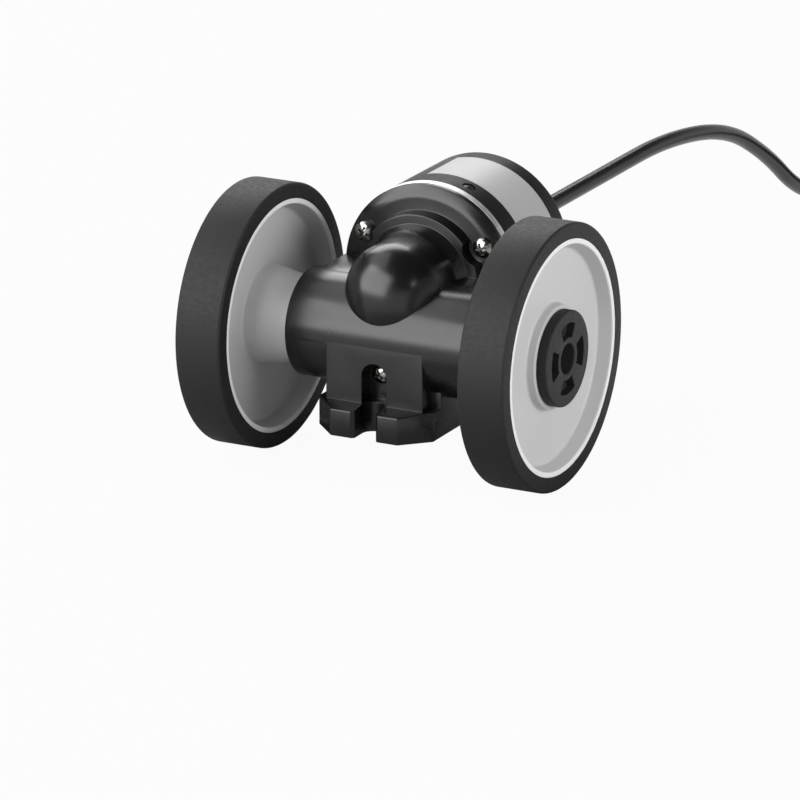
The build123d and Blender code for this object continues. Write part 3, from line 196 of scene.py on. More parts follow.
class CableSizes(bpy.types.PropertyGroup):
    """Sizes of the cable and its coil."""

    radius: mm("Radius", "Radius of the cable", 2.5)
    length: mm("Length", "Length of the cable outside the encoder", 2000.0)
    coil_outer: mm("Coil outside", "Radius of the coil's outermost turn, at its middle", 37.5)
    coil_inner: mm("Coil inside", "Radius of the coil's innermost turn, at its middle", 20.5)
    points: count_prop("Points in a turn", "Points of the spline in one turn of the coil", 16)
    lead: mm("Lead radius", "Radius of a bare lead", 0.6)


class Colours(bpy.types.PropertyGroup):
    """Colours of the finishes."""

    rubber: colour_prop("Rubber", "The tyres", "1e1e1e")
    hub: colour_prop("Hub", "The hubs", "c3c3c3")
    # The lip colour is a painted highlight: the lips are painted paler for the light that their edges catch.
    lip: colour_prop("Lip", "The hubs' trimmed lips", "eaeaea")
    cap: colour_prop("Cap", "The caps", "232323")
    casting: colour_prop("Casting", "The painted casting", "0d0d0d")
    cover: colour_prop("Cover", "The encoder's cover", "181818")
    label: colour_prop("Label", "The bare label", "a6a6a6")
    bright: colour_prop("Bright metal", "The turned flange", "d2d2d2")
    nickel: colour_prop("Nickel", "The screws", "9c9a97")
    sheath: colour_prop("Sheath", "The cable's sheath", "131314")


class StageSizes(bpy.types.PropertyGroup):
    """The place and the lens of the camera."""

    distance: mm("Camera distance", "Distance of the camera from the axle's middle", 1827.4)
    drop: mm("Aim drop", "How far below the axle's middle the camera aims", 19.56)
    aside: mm("Aim aside", "How far beside the axle's middle the camera aims", 0.147)
    lens: FloatProperty(name="Lens", description="Focal length of the camera in millimetres", default=280.44)
    azimuth: angle_prop("Azimuth", "Turn of the camera from the front", 27.16)
    elevation: angle_prop("Elevation", "Height of the camera as an angle", 17.25)


# Modelling helpers.


def clear_selection():
    """Leaves nothing selected, because an operator acts on all that is."""
    bpy.ops.object.select_all(action="DESELECT")


def only(piece):
    """Makes one piece the active and only selected one."""
    clear_selection()
    piece.select_set(True)
    bpy.context.view_layer.objects.active = piece


def edit(piece):
    """Opens a piece in edit mode with all of it selected."""
    only(piece)
    bpy.ops.object.mode_set(mode="EDIT")
    bpy.ops.mesh.select_all(action="SELECT")


def close_edit():
    """Leaves edit mode."""
    bpy.ops.object.mode_set(mode="OBJECT")


def named(name):
    """Names the piece that an operator has just made."""
    piece = bpy.context.object
    piece.name = name
    piece.data.name = name
    return piece


def settle(piece, place=None):
    """Turns and moves a piece by a matrix, and puts the result in its mesh."""
    if place is not None:
        piece.matrix_world = place @ piece.matrix_world
    only(piece)
    bpy.ops.object.transform_apply(location=True, rotation=True, scale=True)
    return piece


def outward(piece):
    """Merges doubled points and points all faces outwards."""
    edit(piece)
    bpy.ops.mesh.remove_doubles(threshold=SAME_POINT)
    bpy.ops.mesh.normals_make_consistent(inside=False)
    close_edit()
    return piece


def thread_points(name, points):
    """A chain of points joined by edges, pulled out of one point as by hand, and left open in edit mode."""
    clear_selection()
    bpy.ops.mesh.primitive_plane_add(size=1)
    piece = named(name)
    edit(piece)
    bpy.ops.mesh.merge(type="CENTER")
    bpy.ops.transform.translate(value=points[0])
    for before, after in zip(points, points[1:]):
        step = Vector(after) - Vector(before)
        bpy.ops.mesh.extrude_region_move(TRANSFORM_OT_translate={"value": step})
    bpy.ops.mesh.select_all(action="SELECT")
    return piece


def corner_arc(before, corner, after, radius, steps):
    """The points of the arc that rounds one corner of an outline."""
    here = Vector(corner)
    to_before = (Vector(before) - here).normalized()
    to_after = (Vector(after) - here).normalized()
    half = to_before.angle(to_after) / 2
    reach = radius / math.tan(half)
    middle = here + (to_before + to_after).normalized() * (radius / math.sin(half))
    start = here + to_before * reach - middle
    turn = start.angle_signed(here + to_after * reach - middle)
    points = []
    for index in range(steps + 1):
        angle = -turn * index / steps
        across, up = math.cos(angle), math.sin(angle)
        points.append(
            (middle.x + start.x * across - start.y * up, middle.y + start.x * up + start.y * across)
        )
    return points


def rounded(corners, steps=6):
    """An outline from (across, up) corners, where a third number rounds the corner with that radius."""
    outline = []
    count = len(corners)
    for index, corner in enumerate(corners):
        if len(corner) == 2:
            outline.append(tuple(corner))
            continue
        before = corners[index - 1][:2]
        after = corners[(index + 1) % count][:2]
        outline += corner_arc(before, corner[:2], after, corner[2], steps)
    return outline


def oblong(low, high, edge=None):
    """The outline of a rectangle between two corners, rounded where edge is given."""
    corners = [(low[0], low[1]), (high[0], low[1]), (high[0], high[1]), (low[0], high[1])]
    return corners if edge is None else rounded([(*corner, edge) for corner in corners])


def spun(name, outline, axis="X", steps=224, closed=True, angle=TAU):
    """A turned piece: an (along, radius) outline spun about the X or the Y axis."""
    ring = list(outline) + ([outline[0]] if closed else [])
    if axis == "X":
        points = [(along, 0, radius) for along, radius in ring]
    else:
        points = [(0, along, radius) for along, radius in ring]
    piece = thread_points(name, points)
    about = (1, 0, 0) if axis == "X" else (0, 1, 0)
    if angle < TAU:
        bpy.ops.mesh.remove_doubles(threshold=SAME_POINT)
        bpy.ops.mesh.edge_face_add()
    bpy.ops.mesh.spin(steps=steps, angle=angle, center=(0, 0, 0), axis=about)
    close_edit()
    return outward(piece)


def plate(name, corners, start, end, axis="Z"):
    """A flat outline pulled out along the Y or the Z axis from start to end."""
    thread_points(name, [(a, start, b) if axis == "Y" else (a, b, start) for a, b in corners])
    bpy.ops.mesh.edge_face_add()
    step = Vector((0, axis == "Y", axis == "Z")) * (end - start)
    bpy.ops.mesh.extrude_region_move(TRANSFORM_OT_translate={"value": step})
    close_edit()
    return outward(bpy.context.object)


def block(name, low, high):
    """A box between two corners."""
    return plate(name, oblong(low, high), low[2], high[2])


def rod(name, radius, start, end, axis="Y", across=0.0, up=0.0, sides=96):
    """A round bar along the X or the Y axis."""
    turned = (0, math.pi / 2, 0) if axis == "X" else (math.pi / 2, 0, 0)
    middle = (start + end) / 2
    place = (middle, across, up) if axis == "X" else (across, middle, up)
    clear_selection()
    bpy.ops.mesh.primitive_cylinder_add(
        vertices=sides, radius=radius, depth=end - start, location=place, rotation=turned
    )
    return settle(named(name))


def combine(piece, other, operation):
    """Adds another piece to this one, or cuts with it, and uses it up."""
    only(piece)
    joint = piece.modifiers.new("join", "BOOLEAN")
    joint.operation = operation
    joint.object = other
    joint.solver = "EXACT"
    bpy.ops.object.modifier_apply(modifier=joint.name)
    bpy.data.objects.remove(other)
    return piece


def bevelled(piece, width, segments=3):
    """Rounds the edges of a piece that turn by more than 40 degrees."""
    only(piece)
    edge = piece.modifiers.new("edge", "BEVEL")
    edge.width = width
    edge.segments = segments
    edge.limit_method = "ANGLE"
    edge.angle_limit = math.radians(40)
    bpy.ops.object.modifier_apply(modifier=edge.name)
    return piece


def smoothed(piece, angle=32):
    """Shades a piece smooth, but for its sharp edges."""
    only(piece)
    bpy.ops.object.shade_smooth_by_angle(angle=math.radians(angle))
    return piece


def copied(piece, name, place):
    """A copy of a piece with its own mesh, moved or mirrored by a matrix."""
    twin = piece.copy()
    twin.data = piece.data.copy()
    twin.name = name
    twin.data.name = name
    bpy.context.scene.collection.objects.link(twin)
    settle(twin, place)
    if place.determinant() < 0:
        edit(twin)
        bpy.ops.mesh.normals_make_consistent(inside=False)
        close_edit()
    return twin


def deliver(piece, body, nodes, finish):
    """Gives a piece its material and its body, and hides the CAD nodes that it stands for."""
    piece.data.materials.clear()
    piece.data.materials.append(finish)
    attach(piece, body)
    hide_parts(*nodes)
    return piece


# Finishes.


def add_node(tree, kind, inputs, **settings):
    """Adds a shader node with its settings. Each input gets a value, or a link from a socket."""
    node = tree.nodes.new("ShaderNode" + kind)
    for name, value in settings.items():
        setattr(node, name, value)
    for key, value in inputs.items():
        if isinstance(value, bpy.types.NodeSocket):
            tree.links.new(value, node.inputs[key])
        else:
            node.inputs[key].default_value = value
    return node


class Finish:
    """A material with its nodes, made step by step."""

    def __init__(self, name, colour, roughness, metallic=0.0, specular=0.5):
        self.material = bpy.data.materials.new(name)
        self.material.use_nodes = True
        self.tree = self.material.node_tree
        self.shader = self.tree.nodes["Principled BSDF"]
        self.sockets = self.shader.inputs
        self.sockets["Base Color"].default_value = (*colour, 1)
        self.sockets["Roughness"].default_value = roughness
        self.sockets["Metallic"].default_value = metallic
        self.sockets["Specular IOR Level"].default_value = specular
        self.colour = tuple(colour)
        self.place = add_node(self.tree, "TexCoord", {}).outputs["Object"]

    def noise(self, scale, detail, stretch=(1, 1, 1)):
        """A noise pattern on the piece's own coordinates, in cycles per metre."""
        mapping = add_node(self.tree, "Mapping", {"Vector": self.place, "Scale": stretch})
        inputs = {"Vector": mapping.outputs["Vector"], "Scale": scale, "Detail": detail}
        return add_node(self.tree, "TexNoise", inputs).outputs["Fac"]

    def ranged(self, source, low, high, start=0.3, end=0.7):
        """A pattern spread between two values."""
        inputs = {"Value": source, "From Min": start, "From Max": end, "To Min": low, "To Max": high}
        return add_node(self.tree, "MapRange", inputs).outputs["Result"]

    def mixed(self, share, first, second):
        """Mixes the base colour from two by a share."""
        mix = add_node(self.tree, "Mix", {"Factor": share, "A": first, "B": second}, data_type="RGBA")
        self.tree.links.new(mix.outputs["Result"], self.sockets["Base Color"])

    def mottle(self, source, spread):
        """Lets the colour vary a little, darker and lighter."""
        ends = [(*[min(1.0, c * share) for c in self.colour], 1) for share in (1 - spread, 1 + spread)]
        self.mixed(source, *ends)

    def banded(self, radius, colour):
        """Turns to another colour beyond a radius from the axle's axis, over a narrow blend."""
        blend = 0.1 * MM
        flatten = {0: self.place, 1: (0, 1, 1), 2: (0, 0, -AXLE_HEIGHT)}
        away = add_node(self.tree, "VectorMath", flatten, operation="MULTIPLY_ADD")
        length = add_node(self.tree, "VectorMath", {0: away.outputs["Vector"]}, operation="LENGTH")
        share = self.ranged(length.outputs["Value"], 0, 1, radius - blend, radius + blend)
        self.mixed(share, self.sockets["Base Color"].links[0].from_socket, (*colour, 1))

    def gloss(self, source, low, high):
        """Lets the roughness vary between two values."""
        self.tree.links.new(self.ranged(source, low, high), self.sockets["Roughness"])

    def relief(self, source, height, edge=0.0):
        """Fine relief from a pattern and, where edge is set, softened edges."""
        inputs = {"Strength": 1.0, "Distance": height, "Height": source}
        if edge:
            inputs["Normal"] = add_node(self.tree, "Bevel", {"Radius": edge}, samples=8).outputs["Normal"]
        bump = add_node(self.tree, "Bump", inputs)
        self.tree.links.new(bump.outputs["Normal"], self.sockets["Normal"])

    def grained(self, mottle, gloss, relief):
        """Adds the three patterns, each a noise and its values. The relief's values are in millimetres."""
        self.mottle(self.noise(*mottle[0]), *mottle[1:])
        self.gloss(self.noise(*gloss[0]), *gloss[1:])
        self.relief(self.noise(*relief[0]), *(size * MM for size in relief[1:]))
        return self.material


def tyre_rubber(colours):
    """Smooth matt rubber with a fine moulded grain."""
    finish = Finish("tyre_rubber", colours.rubber, 0.5, specular=0.2)
    return finish.grained(((60, 4), 0.08), ((900, 3), 0.48, 0.62), ((4500, 2), 0.012))


def hub_plastic(colours):
    """Light grey moulded plastic, with a painted highlight: paler on the rim's lip."""
    finish = Finish("hub_plastic", colours.hub, 0.42, specular=0.4)
    finish.grained(((45, 3), 0.02), ((500, 3), 0.36, 0.5), ((3000, 2), 0.008, 0.15))
    # Painted highlight: beyond this radius the lip is painted paler for the light that its edge catches.
    finish.banded(LIP_HIGHLIGHT_START, colours.lip)
    return finish.material


def cap_plastic(colours):
    """Matt black moulded plastic with a spark-eroded grain."""
    finish = Finish("cap_plastic", colours.cap, 0.6, specular=0.3)
    return finish.grained(((150, 3), 0.08), ((1200, 3), 0.55, 0.72), ((5200, 3), 0.02, 0.2))


def casting_paint(colours):
    """Semi-gloss black paint on a die casting."""
    finish = Finish("casting_paint", colours.casting, 0.26, specular=0.48)
    return finish.grained(((50, 3), 0.08), ((260, 4), 0.24, 0.28), ((700, 3), 0.004, 0.2))


def cover_paint(colours):
    """Satin black paint on the encoder's cover."""
    finish = Finish("cover_paint", colours.cover, 0.42, specular=0.1)
    return finish.grained(((70, 3), 0.06), ((400, 3), 0.38, 0.46), ((2200, 2), 0.006, 0.15))


def label_foil(colours):
    """Bare silver foil with a fine grain along the label."""
    finish = Finish("label_foil", colours.label, 0.46, 0.15, specular=0.3)
    tone, sheen, grain = (1, 9, 1), (1, 6, 1), (0.3, 6, 0.3)
    return finish.grained(((120, 2, tone), 0.03), ((900, 2, sheen), 0.42, 0.5), ((1600, 2, grain), 0.004))


def turned_metal(colours):
    """Bright metal with the fine rings that turning leaves."""
    finish = Finish("turned_flange", colours.bright, 0.4, 1.0)
    rings = (0.4, 14, 0.4)
    return finish.grained(((80, 2), 0.04), ((600, 3, rings), 0.34, 0.48), ((900, 2, rings), 0.006, 0.15))


def nickel_plate(colours):
    """Bright nickel on the screws, a little stained."""
    finish = Finish("nickel_plate", colours.nickel, 0.16, 1.0)
    return finish.grained(((900, 3), 0.12), ((1500, 3), 0.1, 0.22), ((3200, 2), 0.008, 0.12))


def cable_sheath(colours):
    """Black cable sheath with a soft sheen."""
    finish = Finish("cable_sheath", colours.sheath, 0.28, specular=0.2)
    return finish.grained(((90, 3), 0.08), ((700, 3), 0.24, 0.32), ((3000, 2), 0.01))


def plain_finish(name, hex_colour, roughness, metallic=0.0):
    """A finish for the pieces inside, with a little grain of its own."""
    finish = Finish(name, linear(hex_colour), roughness, metallic)
    gloss = ((900, 3), roughness - 0.06, roughness + 0.08)
    return finish.grained(((300, 3), 0.06), gloss, ((2500, 2), 0.006))


INNER_FINISHES = {
    "ground_steel": (
        "b4b6b8", 0.28, 1.0,
        ["axle", "encoder_shaft", "wheel_drive_pins", "drive_gear_pin", "driven_gear_pin", "gear_spacers",
         "wheel_spacers", "shaft_spacers", "bearing_outer_ring_left", "bearing_outer_ring_right",
         "bearing_inner_ring_left", "bearing_inner_ring_right", "bearing_balls_left", "bearing_balls_right"],
    ),
    "plated_steel": ("bdbdbb", 0.25, 1.0, ["wheel_screws", "wheel_washers", "board_screws"]),
    "spring_steel": ("5a5a5c", 0.4, 1.0, ["bearing_circlips"]),
    "seal_rubber": ("232324", 0.55, 0.0, ["axle_seal_left", "axle_seal_right", "cover_o_ring"]),
    "gear_steel": ("9a9c9e", 0.32, 1.0, ["drive_gear"]),
    "gear_bronze": ("b08a4e", 0.35, 1.0, ["driven_gear", "shaft_bush_front", "shaft_bush_rear"]),
    "turned_aluminium": ("cfcfd0", 0.3, 1.0, ["disc_hub", "disc_clamp"]),
    "disc_steel": ("a2a3a5", 0.25, 1.0, ["code_disc", "fixed_mask"]),
    "board_green": ("1d5a34", 0.4, 0.0, ["circuit_board"]),
    "standoff_brass": ("c9a55a", 0.3, 1.0, ["board_standoffs"]),
    "chip_black": ("202022", 0.45, 0.0, ["board_chips", "light_source", "light_sensor"]),
    "connector_white": ("dcdcd4", 0.45, 0.0, ["board_connector"]),
    "stop_metal": ("b0b0b0", 0.35, 1.0, ["cable_stop"]),
    "wire_insulation": ("9a2f28", 0.45, 0.0, ["lead_wires"]),
    "inner_sheath": ("19191a", 0.4, 0.0, ["cable_inner_end"]),
}


# The operators, one for each piece or group of like pieces.


def deliver_pair(piece, node, finish):
    """Delivers a piece of the right wheel, and its mirrored copy for the left one."""
    twin = copied(piece, piece.name.replace("right", "left"), TO_LEFT)
    for half, side in ((piece, "_right"), (twin, "_left")):
        smoothed(half)
        deliver(half, "wheel_set", [node + side], finish)


class ENCODER_OT_tyres(bpy.types.Operator):
    """Builds the two rubber tyres."""

    bl_idname = "encoder.tyres"
    bl_label = "Tyres"
    bl_options = {"REGISTER", "UNDO"}

    def execute(self, context):
        """Spins the tyre's section about the axle."""
        w = context.scene.wheel_sizes
        inner, rim, edge = w.outer_x - w.width, w.radius - w.tyre, w.tyre_edge
        outline = rounded(
            [(inner, rim), (w.outer_x, rim), (w.outer_x, w.radius, edge), (inner, w.radius, edge)]
        )
        tyre = settle(spun("right_tyre", outline), TO_AXLE)
        deliver_pair(tyre, "tyre", tyre_rubber(context.scene.encoder_colours))
        return {"FINISHED"}


class ENCODER_OT_hubs(bpy.types.Operator):
    """Builds the two moulded hubs."""

    bl_idname = "encoder.hubs"
    bl_label = "Hubs"
    bl_options = {"REGISTER", "UNDO"}

    def execute(self, context):
        """Spins the hub's section about the axle and cuts the slot for its drive pin."""
        w = context.scene.wheel_sizes
        inner = w.outer_x - w.width
        rim = w.radius - w.tyre
        lip = rim - w.lip
        dish = lip - w.flare
        web_out = w.outer_x - w.dish_outer
        web_in = inner + w.dish_inner
        face = web_out + w.boss_rise
        draft = 0.3 * MM
        knee_x, knee = inner + 1.5 * MM, w.inner_boss - 0.5 * MM
        rim_edge, lip_edge, boss_edge, boss_root, inner_root, dish_root, knee_round = (
            size * MM for size in (0.25, 0.35, 0.4, 0.7, 0.6, 1.0, 3.0)
        )
        outline = rounded(
            [
                (w.boss_tip_x, w.axle), (w.axle_end, w.axle), (w.axle_end, w.socket), (face, w.socket),
                (face, w.boss, boss_edge), (web_out, w.boss + draft, boss_root),
                (web_out, dish, dish_root), (w.outer_x, lip, lip_edge), (w.outer_x, rim, rim_edge),
                (inner, rim, rim_edge), (inner, lip, lip_edge), (web_in, dish, dish_root),
                (web_in, w.inner_boss, inner_root), (knee_x, knee, knee_round),
                (w.boss_tip_x, w.boss_tip, boss_edge),
            ]
        )
        hub = spun("right_hub", outline)
        half, reach, depth = 1.0 * MM, 8.5 * MM, 2.6 * MM
        low, high = (w.boss_tip_x - CUT, -half, -reach), (w.boss_tip_x + depth, half, reach)
        slot = block("pin_slot", low, high)
        settle(combine(hub, slot, "DIFFERENCE"), TO_AXLE)
        deliver_pair(hub, "wheel_hub", hub_plastic(context.scene.encoder_colours))
        return {"FINISHED"}


class ENCODER_OT_caps(bpy.types.Operator):
    """Builds the two black caps."""

    bl_idname = "encoder.caps"
    bl_label = "Caps"
    bl_options = {"REGISTER", "UNDO"}

    def execute(self, context):
        """Spins the cap about the axle and cuts its windows."""
        c = context.scene.cap_sizes
        w = context.scene.wheel_sizes
        seat = w.outer_x - w.dish_outer + w.boss_rise
        hole_edge, face_edge, seat_edge = 0.35 * MM, 0.6 * MM, 0.2 * MM
        outline = rounded(
            [
                (seat - c.spigot, c.hole), (c.face_x, c.hole, hole_edge), (c.face_x, c.radius, face_edge),
                (seat, c.radius, seat_edge), (seat, w.socket), (seat - c.spigot, w.socket),
            ],
            4,
        )
        cap = spun("right_cap", outline, steps=128)
        section = oblong((c.face_x - c.window_depth, c.window_inner), (c.face_x + CUT, c.window_outer))
        for index in range(c.windows):
            window = spun("window", section, steps=24, angle=c.window_angle)
            # The spin turns backwards, so half of its angle brings the window's middle back.
            turn = index * TAU / c.windows + c.window_angle / 2
            settle(window, Matrix.Rotation(turn, 4, "X"))
            bevelled(window, 0.9 * MM, 4)
            combine(cap, window, "DIFFERENCE")
        settle(cap, TO_AXLE)
        deliver_pair(cap, "hub_cap", cap_plastic(context.scene.encoder_colours))
        return {"FINISHED"}


def casting_round(c):
    """The round part of the casting: flange, steps and dome, spun about the encoder's axis."""
    steps = 20
    outline = [(c.dome_y - c.dome_reach, 0.0)]
    for index in range(1, steps + 1):
        angle = index / steps * math.pi / 2
        outline.append((c.dome_y - c.dome_reach * math.cos(angle), c.dome * math.sin(angle)))
    straight, neck, neck_round = 6.0 * MM, 9.2 * MM, 6.6 * MM
    collar_front, collar_low = 11.3 * MM, 17.0 * MM
    collar_back, collar = 11.45 * MM, 19.7 * MM
    collar_root = 19.9 * MM
    shoulder_y, shoulder, shoulder_round = 16.4 * MM, 24.5 * MM, 5.0 * MM
    rim_y = 18.25 * MM
    crease, edge = 0.15 * MM, 0.3 * MM
    outline += rounded(
        [
            (straight, c.dome), (neck, c.dome, neck_round), (collar_front, collar_low, crease),
            (collar_back, collar, edge), (c.flange_face, collar_root, crease),
            (shoulder_y, shoulder, shoulder_round), (rim_y, c.flange, edge), (c.flange_back, c.flange),
            (c.flange_back, 0.0),
        ]
    )
    return spun("casting_round", outline, "Y", closed=False)


def casting_foot(c):
    """The eight-sided base with the block under the tube and its cheeks."""
    corner, slope = 7.9 * MM, 0.8 * MM
    bottom, back = 0.5 * MM, 12.6 * MM
    cheek_front, cheek_top = -10.25 * MM, 13.9 * MM
    corners = [(c.cheek, c.base - corner), (c.cheek - corner, c.base)]
    corners += [(-x, y) for x, y in reversed(corners)]
    corners += [(-x, -y) for x, y in corners]
    base = plate("base", corners, 0, c.base_top)
    for side in (-1, 1):
        edit(base)
        normal = Vector((0, side * slope, c.base - c.tube)).normalized()
        bpy.ops.mesh.bisect(
            plane_co=(0, side * c.tube, c.base_top), plane_no=normal, clear_outer=True, use_fill=True
        )
        close_edit()
    bevelled(outward(base), 0.35 * MM)
    middle = block("middle", (-c.block, -c.tube, bottom), (c.block, back, AXLE_HEIGHT))
    cheeks = block("cheeks", (-c.cheek, cheek_front, bottom), (c.cheek, back, cheek_top))
    for part in (middle, cheeks):
        combine(base, bevelled(part, 0.3 * MM), "UNION")
    return base


def on_circle(radius, angle):
    """X and Z of a point of a circle round the encoder's axis, by its angle in degrees."""
    turn = math.radians(angle)
    return radius * math.cos(turn), SHAFT_HEIGHT + radius * math.sin(turn)


def notch_cutter(c, side):
    """The cutter of a bolt notch that opens at the front or the back of the base."""
    mouth = c.base - c.notch_y
    flared, steps = c.notch + 2 * CUT, 32
    corners = [
        (-c.notch, 0), (-c.notch, mouth - CUT), (-flared, mouth + CUT),
        (flared, mouth + CUT), (c.notch, mouth - CUT), (c.notch, 0),
    ]
    for index in range(1, steps):
        angle = math.pi * index / steps
        corners.append((c.notch * math.cos(angle), -c.notch * math.sin(angle)))
    return plate("notch", [(x, side * (c.notch_y + y)) for x, y in corners], -CUT, c.base_top + CUT / 2)


def casting_cutters(c, s):
    """The shapes cut out of the casting: bores, pockets, the slot and the notches."""
    back = c.flange_back + CUT
    chamber, chamber_end = 8.2 * MM, 19.0 * MM
    shapes = [rod("chamber", chamber, -chamber_end, chamber_end, "X", up=AXLE_HEIGHT)]
    along_axle = (
        ("seat", 9.5 * MM, 18.9 * MM, c.tube_end + CUT),
        ("groove", 10.1 * MM, 25.0 * MM, 26.1 * MM),
    )
    for side in (-1, 1):
        for name, radius, near, far in along_axle:
            ends = sorted((side * near, side * far))
            shapes.append(rod(name, radius, *ends, "X", up=AXLE_HEIGHT))
    along_shaft = (
        ("bush_seat", BUSH_SEAT, -14.0 * MM, -5.4 * MM),
        ("gear_bore", 9.0 * MM, -5.5 * MM, back),
        ("pilot", PILOT, c.flange_back - PILOT_DEPTH, back),
    )
    shapes += [rod(*bore, up=SHAFT_HEIGHT) for bore in along_shaft]
    hole, pocket_radius, pocket_front = 1.7 * MM, 4.8 * MM, 8.4 * MM
    for angle, _ in BODY_SCREWS:
        x, z = on_circle(s.circle, angle)
        shapes.append(rod("screw_hole", hole, c.slot_back - CUT, back, "Y", x, z))
        if z > SHAFT_HEIGHT:
            pocket = rod("pocket", pocket_radius, pocket_front, c.flange_face, "Y", x, z)
            shapes.append(bevelled(pocket, 0.3 * MM))
    arch, front = SHAFT_HEIGHT - s.circle, -c.base - CUT
    slot = rod("slot", c.slot, front, c.slot_back, up=arch)
    lower = block("lower", (-c.slot, front, c.base_top - CUT / 100), (c.slot, c.slot_back, arch))
    shapes.append(combine(slot, lower, "UNION"))
    return shapes + [notch_cutter(c, side) for side in (-1, 1)]


class ENCODER_OT_casting(bpy.types.Operator):
    """Builds the painted gear housing."""

    bl_idname = "encoder.casting"
    bl_label = "Casting"
    bl_options = {"REGISTER", "UNDO"}

    def execute(self, context):
        """Joins the casting's forms and cuts its bores, pockets and notches."""
        c = context.scene.casting_sizes
        end, edge = c.tube_end, 0.6 * MM
        tube = rounded([(-end, 0), (-end, c.tube, edge), (end, c.tube, edge), (end, 0)])
        casting = settle(spun("gear_case", tube, closed=False), TO_AXLE)
        combine(casting, settle(casting_round(c), TO_SHAFT), "UNION")
        under, back = 10.0 * MM, 17.6 * MM
        low, high = (-c.saddle, 0, AXLE_HEIGHT - under), (c.saddle, back, AXLE_HEIGHT + c.tube)
        combine(casting, bevelled(block("saddle", low, high), 0.25 * MM), "UNION")
        combine(casting, casting_foot(c), "UNION")
        for cutter in casting_cutters(c, context.scene.screw_sizes):
            combine(casting, cutter, "DIFFERENCE")
        smoothed(casting, 28)
        paint = casting_paint(context.scene.encoder_colours)
        deliver(casting, "housing", ["gear_housing"], paint)
        return {"FINISHED"}


def cross_screw(name, shank, head, height, length, recess):
    """A pan head screw along Z with a cross recess, seated on z = 0."""
    crown = height * 0.55
    ball = (head**2 + crown**2) / (2 * crown)
    point, edge, edge_rise = 0.4 * MM, 0.1 * MM, 0.12 * MM
    outline = [(0, -length), (shank, -length + point), (shank, 0), (head - edge, 0), (head, edge_rise)]
    steps = 12
    top = math.asin(head / ball)
    for index in range(steps + 1):
        angle = top * (1 - index / steps)
        outline.append((ball * math.sin(angle), height - ball + ball * math.cos(angle)))
    screw = spun(name, [(z, r) for r, z in outline], steps=64, closed=False)
    settle(screw, Matrix.Rotation(-math.pi / 2, 4, "Y"))
    half, wide = recess / 2, recess * 0.11
    flank, tip, deep = height - 0.5 * MM, half * 0.35, height - half
    over = height + CUT
    wedge = [(-half, over), (half, over), (half, flank), (tip, deep), (-tip, deep), (-half, flank)]
    for turn in (0, math.pi / 2):
        blade = plate("blade", wedge, -wide, wide, "Y")
        combine(screw, settle(blade, Matrix.Rotation(turn, 4, "Z")), "DIFFERENCE")
    return smoothed(screw, 35)


class ENCODER_OT_screws(bpy.types.Operator):
    """Builds the three screws that hold the encoder."""

    bl_idname = "encoder.screws"
    bl_label = "Screws"
    bl_options = {"REGISTER", "UNDO"}

    def execute(self, context):
        """Makes each screw at its length and seats it, its cross turned by its own angle."""
        s = context.scene.screw_sizes
        c = context.scene.casting_sizes
        nickel = nickel_plate(context.scene.encoder_colours)
        for number, (angle, turn) in enumerate(BODY_SCREWS, 1):
            x, z = on_circle(s.circle, angle)
            upper = z > SHAFT_HEIGHT
            seat = c.flange_face if upper else c.slot_back
            screw = cross_screw("body_screw_%d" % number, s.shank, s.head, s.height, s.tip_y - seat, s.recess)
            place = Matrix.Translation((x, seat, z)) @ Matrix.Rotation(math.pi / 2, 4, "X")
            settle(screw, place @ Matrix.Rotation(math.radians(turn), 4, "Z"))
            node = "flange_screws_upper" if upper else "flange_screw_lower"
            deliver(screw, "housing", [node], nickel)
        return {"FINISHED"}


